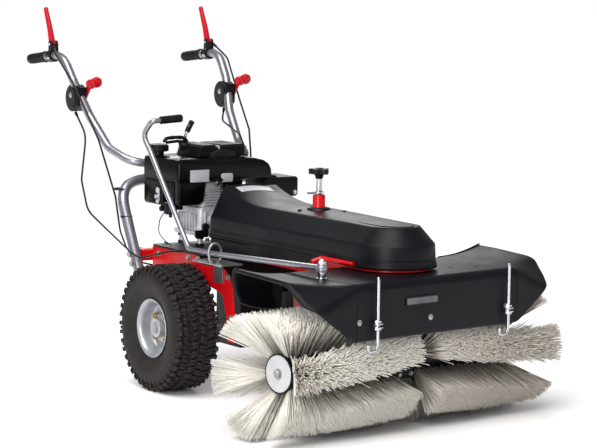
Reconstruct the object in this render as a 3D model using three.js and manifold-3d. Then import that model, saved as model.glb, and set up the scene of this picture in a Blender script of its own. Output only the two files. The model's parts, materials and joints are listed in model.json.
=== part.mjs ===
// Walk behind sweeper: two drive wheels, an engine on a deck, a belt drive under a long cover and a
// wide brush head that swivels about a vertical pivot.
// Millimetres. The machine faces -Y, +X is its left side, +Z is up. While it is being drawn the origin
// is on the ground under the axle; the last lines move it to the bottom centre of the whole machine.
import * as THREE from 'three';
import { mergeVertices } from 'three/addons/utils/BufferGeometryUtils.js';
import Module from 'manifold-3d';

const wasm = await Module();
wasm.setup();

// clearances
const seatGap = 0.4;
const runGap = 0.6;

// wheels
const tyreDiameter = 372;
const tyreWidth = 146;
const rimRadius = 85;
const rimSeatRadius = 76;
const wheelX = 275;
const wheelSides = 24;
const axleRadius = 12.5;
const axleZ = tyreDiameter / 2;

// chassis
const plateX = 192;
const plateThickness = 5;
const deckTop = 402;
const deckThickness = 6;
const deckRear = 240;
const deckFront = -60;
const deckHalfWidth = 200;
const beamHalfWidth = 30;
const beamHeight = 58;
const trayBottom = 431;
const trayThickness = 6;
const trayHalfWidth = 105;
const pivotY = -752;

// belt cover
const coverHalfWidth = 117;
const coverTopHalfWidth = 72;
const coverLeftSpread = 38;
const coverWall = 3;
const coverBase = 438;
const coverShoulder = 500;
const coverTop = 549;
const coverRearTop = 586;
const coverRear = 36;
const coverArcSteps = 12;

// height spindle and support caster
const spindleY = -375;
const sleeveRadius = 18;
const sleeveTop = 598;
const stemRadius = 14;
const screwRadius = 8;
const knobRadius = 30;
const knobZ = 664;
const knobHeight = 22;
const casterRadius = 80;
const casterWidth = 46;
const casterTrail = 34;

// brush head
const restSwivel = THREE.MathUtils.degToRad(9.245);
const brushZ = 180;
const brushRadius = 179;
const brushTipX = 505;
const brushDiscX = 412;
const brushDiscRadius = 54;
const brushCoreRadius = 48;
const shaftRadius = 12;
const gearboxHalfWidth = 32;
const hoodHalfWidth = 300;
const hoodTop = 428;
const hoodThickness = 3.5;
const hoodFront = -181;
const hoodRear = 122;
const hoodFaceBottom = 275;
const hoodEarX = 467;
const hoodEarRise = 26;
const columnRadius = 35;

// belt drive
const beltZ = 454;
const enginePulleyRadius = 40;
const brushPulleyRadius = 66;
const pulleyHeight = 16;
const drumShaftRadius = 10;

// engine
const engineX = -20;
const engineY = 180;
const crankRadius = 12;

// handle
const columnTubeRadius = 17;
const columnHalfWidth = 250;
const barTubeRadius = 13.5;
const gripX = 282;
const gripRadius = 16;
const gripLength = 112;
const tubeSides = 10;

// swivel rod
const rodRadius = 8;
const rodPinX = -295;
const rodPinY = -35;
const rodZ = 456;
const rodLowZ = tyreDiameter + 50;

const materials = {
  red: new THREE.MeshStandardMaterial({ color: 0xc01717, roughness: 0.4, metalness: 0.1 }),
  tube: new THREE.MeshStandardMaterial({ color: 0xb6b8bb, roughness: 0.35, metalness: 0.5 }),
  steel: new THREE.MeshStandardMaterial({ color: 0xa7a9ac, roughness: 0.3, metalness: 0.9 }),
  chrome: new THREE.MeshStandardMaterial({ color: 0xd8dadc, roughness: 0.12, metalness: 1 }),
  alloy: new THREE.MeshStandardMaterial({ color: 0x9b9c9d, roughness: 0.5, metalness: 0.7 }),
  rim: new THREE.MeshStandardMaterial({ color: 0xc4c5c6, roughness: 0.35, metalness: 0.4 }),
  black: new THREE.MeshStandardMaterial({ color: 0x1b1a1c, roughness: 0.5, metalness: 0 }),
  rubber: new THREE.MeshStandardMaterial({ color: 0x1d1d1d, roughness: 0.9, metalness: 0 }),
  bristle: new THREE.MeshStandardMaterial({ color: 0xd9d4c4, roughness: 0.85, metalness: 0 }),
  cable: new THREE.MeshStandardMaterial({ color: 0x141414, roughness: 0.6, metalness: 0 }),
  zinc: new THREE.MeshStandardMaterial({ color: 0x8a8a86, roughness: 0.4, metalness: 0.8 }),
};

// Shapes.

// Merges shared corners, drops collapsed triangles and turns the faces outwards.
function closed(geometry) {
  geometry.deleteAttribute('normal');
  geometry.deleteAttribute('uv');
  const merged = mergeVertices(geometry, 1e-3);
  const corner = merged.attributes.position;
  const kept = [];
  const a = new THREE.Vector3();
  const b = new THREE.Vector3();
  const c = new THREE.Vector3();
  let volume = 0;
  for (let i = 0; i < merged.index.count; i += 3) {
    const face = [merged.index.getX(i), merged.index.getX(i + 1), merged.index.getX(i + 2)];
    if (face[0] === face[1] || face[1] === face[2] || face[2] === face[0]) continue;
    a.fromBufferAttribute(corner, face[0]);
    b.fromBufferAttribute(corner, face[1]);
    c.fromBufferAttribute(corner, face[2]);
    volume += a.dot(b.cross(c));
    kept.push(...face);
  }
  if (volume < 0) kept.reverse();
  merged.setIndex(kept);
  return merged;
}

function toSolid(geometry) {
  const shape = closed(geometry.clone());
  return new wasm.Manifold(new wasm.Mesh({
    numProp: 3,
    vertProperties: new Float32Array(shape.attributes.position.array),
    triVerts: new Uint32Array(shape.index.array),
  }));
}

function fromSolid(solid) {
  const data = solid.getMesh();
  const geometry = new THREE.BufferGeometry();
  geometry.setAttribute('position', new THREE.BufferAttribute(new Float32Array(data.vertProperties), 3));
  geometry.setIndex(new THREE.BufferAttribute(new Uint32Array(data.triVerts), 1));
  return geometry;
}

function join(first, ...others) {
  return fromSolid(others.reduce((sum, other) => sum.add(toSolid(other)), toSolid(first)));
}

function cut(first, ...others) {
  return fromSolid(others.reduce((rest, other) => rest.subtract(toSolid(other)), toSolid(first)));
}

function box(x, y, z) {
  const geometry = new THREE.BoxGeometry(x[1] - x[0], y[1] - y[0], z[1] - z[0]);
  return geometry.translate((x[0] + x[1]) / 2, (y[0] + y[1]) / 2, (z[0] + z[1]) / 2);
}

// Turns a shape made along Z so that it runs along the named axis.
function along(axis, geometry) {
  if (axis === 'x') geometry.rotateY(Math.PI / 2);
  if (axis === 'y') geometry.rotateX(-Math.PI / 2);
  return geometry;
}

// A cylinder along an axis; centre holds the other two places of [x, y, z].
function rod(axis, radius, span, centre, sides = 14, endRadius = radius) {
  const geometry = new THREE.CylinderGeometry(endRadius, radius, span[1] - span[0], sides);
  geometry.rotateX(Math.PI / 2).translate(0, 0, (span[0] + span[1]) / 2);
  return along(axis, geometry).translate(...centre);
}

// A profile of [radius, height] points turned about an axis. A flat of the last shape faces down.
function turned(axis, profile, centre, sides = 18) {
  const points = profile.map(([radius, height]) => new THREE.Vector2(radius, height));
  const geometry = new THREE.LatheGeometry(points, sides);
  geometry.rotateY(Math.PI / sides).rotateX(Math.PI / 2);
  return closed(along(axis, geometry).translate(...centre));
}

// The radius of a faceted hole whose flats clear a round piece by the gap.
function holeRadius(radius, gap, facets) {
  return (radius + gap) / Math.cos(Math.PI / facets);
}

function ring(axis, outer, inner, span, centre, sides = 18) {
  const profile = [[inner, span[0]], [outer, span[0]], [outer, span[1]], [inner, span[1]], [inner, span[0]]];
  return turned(axis, profile, centre, sides);
}

// A span measured outwards on either side, lowest end first.
function mirrored(span, side) {
  return side < 0 ? [-span[1], -span[0]] : span;
}

// A plate cut from an outline. Plane 'x' reads the outline as (y, z), 'y' as (x, z) and 'z' as (x, y).
function plate(plane, outline, span, curveSteps = 4) {
  const shape = Array.isArray(outline)
    ? new THREE.Shape(outline.map(([u, v]) => new THREE.Vector2(u, v)))
    : outline;
  const depth = span[1] - span[0];
  const options = { depth, bevelEnabled: false, curveSegments: curveSteps };
  const geometry = new THREE.ExtrudeGeometry(shape, options);
  geometry.translate(0, 0, plane === 'y' ? -span[1] : span[0]);
  const turn = new THREE.Matrix4();
  if (plane === 'x') turn.makeBasis(axes.y, axes.z, axes.x);
  if (plane === 'y') turn.makeBasis(axes.x, axes.z, axes.y.clone().negate());
  return closed(geometry.applyMatrix4(turn));
}

const axes = {
  x: new THREE.Vector3(1, 0, 0),
  y: new THREE.Vector3(0, 1, 0),
  z: new THREE.Vector3(0, 0, 1),
};

function rounded(x, y, radius) {
  const shape = new THREE.Shape();
  shape.moveTo(x[0] + radius, y[0]);
  shape.lineTo(x[1] - radius, y[0]);
  shape.absarc(x[1] - radius, y[0] + radius, radius, -Math.PI / 2, 0);
  shape.lineTo(x[1], y[1] - radius);
  shape.absarc(x[1] - radius, y[1] - radius, radius, 0, Math.PI / 2);
  shape.lineTo(x[0] + radius, y[1]);
  shape.absarc(x[0] + radius, y[1] - radius, radius, Math.PI / 2, Math.PI);
  shape.lineTo(x[0], y[0] + radius);
  shape.absarc(x[0] + radius, y[0] + radius, radius, Math.PI, Math.PI * 1.5);
  return shape;
}

// A path with a cross-section at each of its own points, so straight stretches stay cheap.
class Stations extends THREE.Curve {
  constructor(points) {
    super();
    this.points = points;
  }

  getPoint(t, target = new THREE.Vector3()) {
    const last = this.points.length - 1;
    const step = Math.min(Math.floor(t * last + 1e-6), last - 1);
    return target.copy(this.points[step]).lerp(this.points[step + 1], t * last - step);
  }

  getPointAt(t, target) {
    return this.getPoint(t, target);
  }

  getTangent(t, target = new THREE.Vector3()) {
    const last = this.points.length - 1;
    const step = Math.round(t * last);
    const before = this.points[Math.max(step - 1, 0)];
    const after = this.points[Math.min(step + 1, last)];
    return target.copy(after).sub(before).normalize();
  }

  getTangentAt(t, target) {
    return this.getTangent(t, target);
  }
}

// Rounds the corners of a run of points; each corner takes bendSteps + 1 stations.
function bent(points, radius, bendSteps = 3) {
  const corners = points.map((point) => new THREE.Vector3(...point));
  const stations = [corners[0]];
  for (let i = 1; i < corners.length - 1; i += 1) {
    const back = corners[i - 1].clone().sub(corners[i]);
    const ahead = corners[i + 1].clone().sub(corners[i]);
    const wanted = radius / Math.tan(back.angleTo(ahead) / 2);
    const reach = Math.min(wanted, back.length() * 0.48, ahead.length() * 0.48);
    const from = corners[i].clone().addScaledVector(back.normalize(), reach);
    const to = corners[i].clone().addScaledVector(ahead.normalize(), reach);
    const bend = new THREE.QuadraticBezierCurve3(from, corners[i], to);
    stations.push(...bend.getPoints(bendSteps));
  }
  stations.push(corners[corners.length - 1]);
  return stations;
}

function sweep(stations, radius, sides = tubeSides) {
  const extrudePath = new Stations(stations);
  const corners = [];
  for (let i = 0; i < sides; i += 1) {
    const angle = (i / sides) * Math.PI * 2;
    corners.push(new THREE.Vector2(radius * Math.cos(angle), radius * Math.sin(angle)));
  }
  const steps = stations.length - 1;
  const options = { steps, extrudePath, bevelEnabled: false };
  return closed(new THREE.ExtrudeGeometry(new THREE.Shape(corners), options));
}

function bentTube(points, bendRadius, radius, sides = tubeSides, bendSteps = 3) {
  return sweep(bent(points, bendRadius, bendSteps), radius, sides);
}

// Joins outlines of equal count into one closed body: the first is the floor and the last the roof.
// Points i and count - 1 - i of an outline face each other, and the end faces run between them.
function stacked(outlines) {
  const count = outlines[0].length;
  const position = outlines.flat(2);
  const index = [];
  for (let level = 0; level < outlines.length - 1; level += 1) {
    for (let i = 0; i < count; i += 1) {
      const a = level * count + i;
      const b = level * count + ((i + 1) % count);
      index.push(a, b, b + count, a, b + count, a + count);
    }
  }
  const roof = (outlines.length - 1) * count;
  for (let i = 0; i < count / 2 - 1; i += 1) {
    const j = count - 1 - i;
    index.push(i, j, j - 1, i, j - 1, i + 1);
    index.push(roof + i, roof + j - 1, roof + j, roof + i, roof + i + 1, roof + j - 1);
  }
  const geometry = new THREE.BufferGeometry();
  geometry.setAttribute('position', new THREE.Float32BufferAttribute(position, 3));
  geometry.setIndex(index);
  return closed(geometry);
}

// A sheet through a grid of points, thickened along the offsets given for each point.
function sheet(rows, offset) {
  const across = rows[0].length;
  const outer = rows.flat();
  const inner = rows.flatMap((row, i) => row.map((point, j) => point.clone().add(offset(i, j))));
  const position = [...outer, ...inner].flatMap((point) => point.toArray());
  const index = [];
  const count = outer.length;
  const quad = (a, b, c, d) => index.push(a, b, c, a, c, d);
  for (let i = 0; i < rows.length - 1; i += 1) {
    for (let j = 0; j < across - 1; j += 1) {
      const a = i * across + j;
      quad(a, a + 1, a + across + 1, a + across);
      quad(count + a + across, count + a + across + 1, count + a + 1, count + a);
    }
  }
  for (let j = 0; j < across - 1; j += 1) {
    const last = (rows.length - 1) * across + j;
    quad(j + 1, j, count + j, count + j + 1);
    quad(last, last + 1, count + last + 1, count + last);
  }
  for (let i = 0; i < rows.length - 1; i += 1) {
    const a = i * across;
    const b = a + across - 1;
    quad(a, a + across, count + a + across, count + a);
    quad(b + across, b, count + b, count + b + across);
  }
  const geometry = new THREE.BufferGeometry();
  geometry.setAttribute('position', new THREE.Float32BufferAttribute(position, 3));
  geometry.setIndex(index);
  return closed(geometry);
}

const part = new THREE.Group();
const machine = new THREE.Group();
part.add(machine);
const head = new THREE.Group();
head.position.y = pivotY;
head.rotation.z = restSwivel;
machine.add(head);

function add(group, name, geometry, material) {
  const mesh = new THREE.Mesh(geometry, material);
  mesh.name = name;
  group.add(mesh);
}

// Both sides of the machine: -1 is the right side, 1 the left.
const sides = [['right', -1], ['left', 1]];

// Wheels.

// The tyre is a hollow C section; its tread has one flat face at the very bottom.
function tyre(x) {
  const toFlat = 1 / Math.cos(Math.PI / wheelSides);
  const crown = (tyreDiameter / 2) * toFlat;
  const half = tyreWidth / 2;
  const bead = rimSeatRadius * toFlat + seatGap;
  const outside = [[bead, half - 24], [rimRadius + 12, half - 5], [crown - 34, half], [crown, half - 14]];
  const inside = [[bead, half - 34], [crown - 50, half - 10], [crown - 14, half - 24]];
  const flip = ([radius, height]) => [radius, -height];
  const loop = [
    ...outside, ...outside.map(flip).reverse(), ...inside.map(flip), ...[...inside].reverse(), outside[0],
  ];
  return turned('x', loop, [x, 0, axleZ], wheelSides);
}

function rim(side) {
  const half = tyreWidth / 2 - 15;
  const hub = 27;
  const bore = axleRadius / Math.cos(Math.PI / wheelSides) + seatGap;
  const web = 12 * side;
  const loop = [
    [bore, -30 * side], [hub, -30 * side], [hub, web - 3 * side], [rimSeatRadius - 3, web - 3 * side],
    [rimSeatRadius - 3, -half * side], [rimRadius, -half * side], [rimSeatRadius, (5 - half) * side],
    [rimSeatRadius, (half - 5) * side], [rimRadius, half * side], [rimSeatRadius - 3, half * side],
    [rimSeatRadius - 3, web], [hub, web],
    [hub, 46 * side], [bore, 46 * side], [bore, -30 * side],
  ];
  return turned('x', loop, [side * wheelX, 0, axleZ], wheelSides);
}

for (const [name, side] of sides) {
  add(machine, `tyre_${name}`, tyre(side * wheelX), materials.rubber);
  add(machine, `rim_${name}`, rim(side), materials.rim);
}

const axleHalf = wheelX + 50;
add(machine, 'axle', rod('x', axleRadius, [-axleHalf, axleHalf], [0, 0, axleZ]), materials.steel);

// Chassis.

const plateTop = deckTop - deckThickness - seatGap;

function sidePlate(side) {
  const span = mirrored([plateX, plateX + plateThickness], side);
  const outline = [
    [deckRear, plateTop], [-30, plateTop], [-46, 372], [-181, 372], [-212, 352], [-228, 318], [-243, 205],
    [-236, 165], [-204, 165], [-196, 240], [-170, 300], [-70, 318], [-52, 250], [-46, 148], [46, 148],
    [60, 250], [120, 318], [deckRear, 335],
  ];
  const hole = rod('x', axleRadius + 6, [span[0] - 1, span[1] + 1], [0, 0, axleZ], 20);
  return cut(plate('x', outline, span), hole);
}

// The front cross tube is welded to the right plate and bolted to the left one.
const crossTube = rod('x', 16, [-plateX - 1, plateX - seatGap], [0, -220, axleZ]);

for (const [name, side] of sides) {
  const boss = mirrored([plateX - 14, plateX + 1], side);
  const bearing = ring('x', 36, axleRadius + runGap, boss, [0, 0, axleZ]);
  const welded = side < 0 ? join(sidePlate(side), bearing, crossTube) : join(sidePlate(side), bearing);
  add(machine, `side_plate_${name}`, welded, materials.red);
}

const deckShape = rounded([-deckHalfWidth, deckHalfWidth], [deckFront, deckRear], 12);
add(machine, 'engine_deck', plate('z', deckShape, [deckTop - deckThickness, deckTop], 2), materials.black);

const rearBeamY = [deckRear + seatGap, deckRear + 40];
const rearBeamZ = [350, 386];
const footX = columnHalfWidth - columnTubeRadius - seatGap;
const rearBeam = plate('x', rounded(rearBeamY, rearBeamZ, 8), [-207, 207], 3);
const feet = sides.map(([, side]) => {
  const span = mirrored([206, footX], side);
  return plate('x', rounded([rearBeamY[0], rearBeamY[1] + 30], rearBeamZ, 8), span, 2);
});
const gearX = -44;
const gearY = 326;
const gearPivotZ = 372;
const gearBracket = box(
  [gearX - 12, gearX + 12], [rearBeamY[1] - 2, gearY - 5.6], [gearPivotZ - 14, gearPivotZ + 12],
);
add(machine, 'rear_beam', join(rearBeam, gearBracket, ...feet), materials.red);

const gearcase = join(
  box([-72, 72], [-70, 70], [118, 302]),
  box([-178, 178], [20, 205], [300, plateTop - 6]),
);
const shaftBore = rod('x', axleRadius + runGap, [-80, 80], [0, 0, axleZ]);
add(machine, 'transmission', cut(gearcase, shaftBore), materials.black);

const beamTop = trayBottom + 1;
const beamFront = pivotY + hoodRear + 50;
const sleeveHole = (span) => rod('z', holeRadius(sleeveRadius, seatGap, 16), span, [0, spindleY, 0], 16);
const beam = box(
  [-beamHalfWidth, beamHalfWidth], [beamFront, deckFront - seatGap], [beamTop - beamHeight, beamTop],
);

function trayOutline(halfWidth, rear) {
  const shape = new THREE.Shape();
  shape.moveTo(halfWidth, rear);
  shape.lineTo(-halfWidth, rear);
  shape.lineTo(-halfWidth, pivotY);
  shape.absarc(0, pivotY, halfWidth, Math.PI, Math.PI * 2);
  return shape;
}

const tray = plate('z', trayOutline(trayHalfWidth, -20), [trayBottom, trayBottom + trayThickness], 8);
const pivotHole = rod('z', holeRadius(columnRadius, runGap, 24), [400, 460], [0, pivotY, 0], 24);
add(machine, 'belt_tray', cut(join(tray, beam), pivotHole, sleeveHole([300, 460])), materials.red);

// Belt cover.

// Height of a line on the cover: level from the front to the ramp in front of the engine, then rising.
function coverHeight(level, rise, y) {
  const rampStart = -190;
  const share = Math.max((y - rampStart) / (coverRear - rampStart), 0);
  return level + rise * Math.min(share * share * 1.1, 1);
}

// The left edge may spread towards the rear, where it reaches the full spread.
function coverOutline(halfWidth, rear, height, spread = 0) {
  const stationsY = [rear, -40, -110, -190, -375, -560, pivotY];
  const rightSide = stationsY.map((y) => [-halfWidth, y, height(y)]);
  const nose = [];
  for (let i = 1; i < coverArcSteps; i += 1) {
    const angle = Math.PI + (i / coverArcSteps) * Math.PI;
    nose.push([halfWidth * Math.cos(angle), pivotY + halfWidth * Math.sin(angle), height(pivotY)]);
  }
  const leftWidth = (y) => halfWidth + (spread * (y - pivotY)) / (coverRear - pivotY);
  const leftSide = stationsY.map((y) => [leftWidth(y), y, height(y)]).reverse();
  return [...rightSide, ...nose, ...leftSide];
}

function coverBody(inset, floor) {
  const rear = coverRear - inset;
  const topLine = (y) => coverHeight(coverTop, coverRearTop - coverTop, y) - inset;
  return stacked([
    coverOutline(coverHalfWidth - inset, rear, () => floor),
    coverOutline(coverHalfWidth - 3 - inset, rear, () => coverShoulder - inset / 2),
    coverOutline(coverTopHalfWidth - inset, rear, topLine, coverLeftSpread),
  ]);
}

const beltDoor = box([-62, 62], [coverRear - 20, coverRear + 20], [coverBase - 5, beltZ + 14]);
add(
  machine,
  'belt_cover',
  cut(coverBody(0, coverBase), coverBody(coverWall, coverBase - 1), beltDoor, sleeveHole([400, 620])),
  materials.black,
);

// Belt drive.

const pulleySpan = [beltZ - pulleyHeight / 2, beltZ + pulleyHeight / 2];

function grooved(radius, centre) {
  const groove = 7;
  return turned('z', [
    [0, pulleySpan[0]], [radius, pulleySpan[0]], [radius, pulleySpan[0] + 2], [radius - groove, beltZ - 3],
    [radius - groove, beltZ + 3], [radius, pulleySpan[1] - 2], [radius, pulleySpan[1]], [0, pulleySpan[1]],
  ], centre, 20);
}

const crankshaft = rod('z', crankRadius, [beltZ, 500], [0, engineY, 0]);
add(machine, 'engine_pulley', join(grooved(enginePulleyRadius, [0, engineY, 0]), crankshaft), materials.zinc);

const gearboxTop = trayBottom + trayThickness + 5;
const drumShaft = rod('z', drumShaftRadius, [300, beltZ], [0, 0, 0]);
add(head, 'brush_pulley', join(grooved(brushPulleyRadius, [0, 0, 0]), drumShaft), materials.zinc);

// The belt wraps both pulleys just outside their grooves.
function beltLoop(inflate) {
  const back = enginePulleyRadius + inflate;
  const front = brushPulleyRadius + inflate;
  const lean = Math.asin((front - back) / (engineY - pivotY));
  const shape = new THREE.Shape();
  shape.absarc(0, engineY, back, -lean, Math.PI + lean);
  shape.absarc(0, pivotY, front, Math.PI + lean, Math.PI * 2 - lean);
  return shape;
}

const beltHeight = 5;
const belt = beltLoop(4.5);
belt.holes.push(beltLoop(0.8));
const beltSpan = [beltZ - beltHeight / 2, beltZ + beltHeight / 2];
add(machine, 'drive_belt', plate('z', belt, beltSpan, 12), materials.rubber);

// Height spindle and support caster.

const spindleAt = [0, spindleY, 0];
const sleeveFlangeZ = [coverTop + 2, coverTop + 8];
const sleeve = join(
  ring('z', sleeveRadius, stemRadius + runGap, [350, sleeveTop], spindleAt),
  ring('z', sleeveRadius + 7, stemRadius + runGap, sleeveFlangeZ, spindleAt),
);
add(machine, 'spindle_sleeve', sleeve, materials.red);

const stemTop = 540;
const stemFlangeZ = [214, 222];
const stem = join(
  rod('z', stemRadius, [stemFlangeZ[0], stemTop], spindleAt),
  rod('z', 30, stemFlangeZ, spindleAt),
);
const screwBore = rod('z', screwRadius + runGap, [400, stemTop + 5], spindleAt);
add(machine, 'caster_stem', cut(stem, screwBore), materials.zinc);

const capZ = [sleeveTop + seatGap, sleeveTop + 6];
const knobSpan = [knobZ - knobHeight / 2, knobZ + knobHeight / 2];
const screw = rod('z', screwRadius, [462, knobSpan[0] + 6], spindleAt);
const capPin = rod('x', 4, [-42, 42], [0, spindleY, sleeveTop + 10], 10);
const screwCap = rod('z', 15, [capZ[0], capZ[1] + 8], spindleAt);

function starKnob() {
  const lobes = 5;
  const pieces = [];
  for (let i = 0; i < lobes; i += 1) {
    const angle = (i / lobes) * Math.PI * 2;
    const reach = knobRadius - 9;
    const place = [reach * Math.cos(angle), spindleY + reach * Math.sin(angle), 0];
    pieces.push(rod('z', 9, [knobSpan[0] + 4.5, knobSpan[1]], place, 8));
  }
  const core = rod('z', knobRadius - 10, [knobSpan[0] + 4.5, knobSpan[1]], spindleAt);
  return join(core, screw, screwCap, capPin, ...pieces);
}

add(machine, 'height_knob', starKnob(), materials.black);

const forkZ = stemFlangeZ[0] - seatGap;
const casterAxleY = spindleY + casterTrail;
const legInner = casterWidth / 2 + 6;

function forkLeg(side) {
  const span = mirrored([legInner, legInner + 5], side);
  const outline = [
    [spindleY - 24, forkZ], [spindleY - 24, forkZ - 30], [casterAxleY - 16, casterRadius - 8],
    [casterAxleY, casterRadius - 16], [casterAxleY + 16, casterRadius - 8], [spindleY + 40, forkZ - 30],
    [spindleY + 30, forkZ],
  ];
  return plate('x', outline, span);
}

const crown = box([-legInner - 5, legInner + 5], [spindleY - 24, spindleY + 30], [forkZ - 8, forkZ]);
const casterAxle = rod('x', 6, [-legInner - 10, legInner + 10], [0, casterAxleY, casterRadius], 16);
add(machine, 'caster_fork', join(crown, forkLeg(-1), forkLeg(1), casterAxle), materials.zinc);

function casterWheel() {
  const wheelFacets = 20;
  const toFlat = 1 / Math.cos(Math.PI / wheelFacets);
  const half = casterWidth / 2;
  const outer = casterRadius * toFlat;
  const bore = 6 * toFlat + runGap;
  return turned('x', [
    [bore, -half - 4], [18, -half], [outer - 20, -half], [outer, -half + 8], [outer, half - 8],
    [outer - 20, half], [18, half], [bore, half + 4], [bore, -half - 4],
  ], [0, casterAxleY, casterRadius], wheelFacets);
}

add(machine, 'caster_wheel', casterWheel(), materials.rubber);

// Brush head.

const gearboxBody = join(
  box([-gearboxHalfWidth, gearboxHalfWidth], [-52, 52], [brushZ - 48, brushZ + 50]),
  rod('z', columnRadius, [brushZ + 40, gearboxTop], [0, 0, 0], 24),
  rod('z', columnRadius + 16, [trayBottom + trayThickness + seatGap, gearboxTop], [0, 0, 0], 24),
);
const boreSpan = [-gearboxHalfWidth - 5, gearboxHalfWidth + 5];
const brushShaftBore = rod('x', shaftRadius + runGap, boreSpan, [0, 0, brushZ]);
const drumShaftBore = rod('z', drumShaftRadius + runGap, [290, gearboxTop + 5], [0, 0, 0]);
add(head, 'brush_gearbox', cut(gearboxBody, brushShaftBore, drumShaftBore), materials.black);

// One folded sheet: the top, the round front edge and the upright front face.
function hoodShell() {
  const bend = 22;
  const shape = new THREE.Shape();
  shape.moveTo(hoodFront, hoodFaceBottom);
  shape.lineTo(hoodFront, hoodTop - bend);
  shape.absarc(hoodFront + bend, hoodTop - bend, bend, Math.PI, Math.PI / 2, true);
  shape.lineTo(hoodRear, hoodTop);
  shape.lineTo(hoodRear, hoodTop - 52);
  shape.lineTo(hoodRear - hoodThickness, hoodTop - 52);
  shape.lineTo(hoodRear - hoodThickness, hoodTop - hoodThickness);
  shape.lineTo(hoodFront + bend, hoodTop - hoodThickness);
  shape.absarc(hoodFront + bend, hoodTop - bend, bend - hoodThickness, Math.PI / 2, Math.PI, false);
  shape.lineTo(hoodFront + hoodThickness, hoodFaceBottom);
  const hole = rod('z', columnRadius + seatGap, [hoodTop - 20, hoodTop + 20], [0, 0, 0], 24);
  return cut(plate('x', shape, [-hoodHalfWidth, hoodHalfWidth], 5), hole);
}

add(head, 'hood_shell', hoodShell(), materials.black);

// The hood's moulded end: it flares up towards its free edge and wraps down the front to a point.
function hoodEnd(side) {
  const innerX = hoodHalfWidth + seatGap;
  const rise = (share) => hoodEarRise * share * share;
  const edge = [
    [hoodEarX, hoodRear, hoodTop, 1], [hoodEarX, 0, hoodTop, 0.7], [hoodEarX, -83, hoodTop, 0.35],
    [hoodEarX - 5, -118, hoodTop - 20, 0.1], [hoodEarX - 14, -150, hoodTop - 46, 0],
    [hoodEarX - 36, hoodFront + 4, hoodTop - 66, 0], [hoodEarX - 74, hoodFront, hoodTop - 94, 0],
    [innerX + 14, hoodFront, hoodFaceBottom + 6, 0],
  ];
  const root = [
    [hoodRear, hoodTop], [0, hoodTop], [-110, hoodTop], [hoodFront + 22, hoodTop],
    [hoodFront + 6, hoodTop - 6], [hoodFront, hoodTop - 22], [hoodFront, hoodTop - 80],
    [hoodFront, hoodFaceBottom],
  ];
  const columns = 4;
  const rows = edge.map(([x, y, z, lift], i) => {
    const row = [];
    for (let j = 0; j <= columns; j += 1) {
      const share = j / columns;
      const place = new THREE.Vector3(innerX, root[i][0], root[i][1]).lerp(new THREE.Vector3(x, y, z), share);
      place.z += rise(share) * lift;
      place.x *= side;
      row.push(place);
    }
    return row;
  });
  const down = edge.map((point, i) => {
    const turn = Math.min(Math.max((i - 2) / 3, 0), 1) * (Math.PI / 2);
    return new THREE.Vector3(0, Math.sin(turn) * hoodThickness, -Math.cos(turn) * hoodThickness);
  });
  return sheet(rows, (i) => down[i]);
}

for (const [name, side] of sides) {
  add(head, `hood_end_${name}`, hoodEnd(side), materials.black);
}

const shaftSpan = [-brushDiscX - 8, brushDiscX + 8];
add(head, 'brush_shaft', rod('x', shaftRadius, shaftSpan, [0, 0, brushZ]), materials.steel);

const brushSides = 24;

function bristles(side) {
  const inner = (brushCoreRadius + seatGap) / Math.cos(Math.PI / brushSides);
  const start = gearboxHalfWidth + 16;
  return turned('x', [
    [inner, start * side], [brushRadius * 0.6, (start - 8) * side], [brushRadius, (start + 10) * side],
    [brushRadius, brushTipX * side], [brushRadius * 0.62, (brushDiscX + 26) * side],
    [brushDiscRadius + 4, (brushDiscX - 14) * side], [inner, (brushDiscX - 14) * side], [inner, start * side],
  ], [0, 0, brushZ], brushSides);
}

for (const [name, side] of sides) {
  const coreSpan = mirrored([gearboxHalfWidth + 8, brushDiscX - 8], side);
  const discSpan = mirrored([brushDiscX - 9, brushDiscX], side);
  const bore = shaftRadius + seatGap;
  const core = ring('x', brushCoreRadius, bore, coreSpan, [0, 0, brushZ], 20);
  const disc = ring('x', brushDiscRadius, bore, discSpan, [0, 0, brushZ], 20);
  add(head, `brush_core_${name}`, join(core, disc), materials.black);
  add(head, `bristles_${name}`, bristles(side), materials.bristle);
}

// Hook rods hang on the front face; their hooks point to the right.
const hookRadius = 4.5;
const hookY = hoodFront - hookRadius - 8;

for (const [name, x] of [['right', -238], ['left', 256]]) {
  const route = [[x, hookY, 446], [x, hookY, 250], [x - 34, hookY, 250], [x - 34, hookY, 268]];
  const clampSpan = [hookY - 10, hoodFront - seatGap];
  const clamp = box([x - 15, x + 15], clampSpan, [311, 327]);
  const rodShape = bentTube(route, 15, hookRadius, 8, 4);
  add(head, `hook_rod_${name}`, join(rodShape, clamp), materials.chrome);
}

// Swivel rod.

const pinTop = rodZ + rodRadius + 16;
const pin = join(
  rod('z', 16, [hoodTop + seatGap, rodZ - rodRadius - 2], [rodPinX, rodPinY, 0]),
  rod('z', 6, [rodZ - rodRadius - 4, pinTop], [rodPinX, rodPinY, 0], 16),
  rod('z', 11, [rodZ + rodRadius + 3, rodZ + rodRadius + 11], [rodPinX, rodPinY, 0], 6),
);
add(head, 'rod_pin', pin, materials.chrome);

// The rod belongs to the head but is drawn in the machine's frame, where its guide is.
const pinPlace = new THREE.Vector3(rodPinX, rodPinY, rodZ).applyAxisAngle(axes.z, restSwivel);
pinPlace.y += pivotY;
const guideX = -250;
const guideY = -219;
const guideZ = rodLowZ + 2;
const leverTop = [-222, 151, 781];
const gripEnd = [-152, 147, 786];

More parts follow.
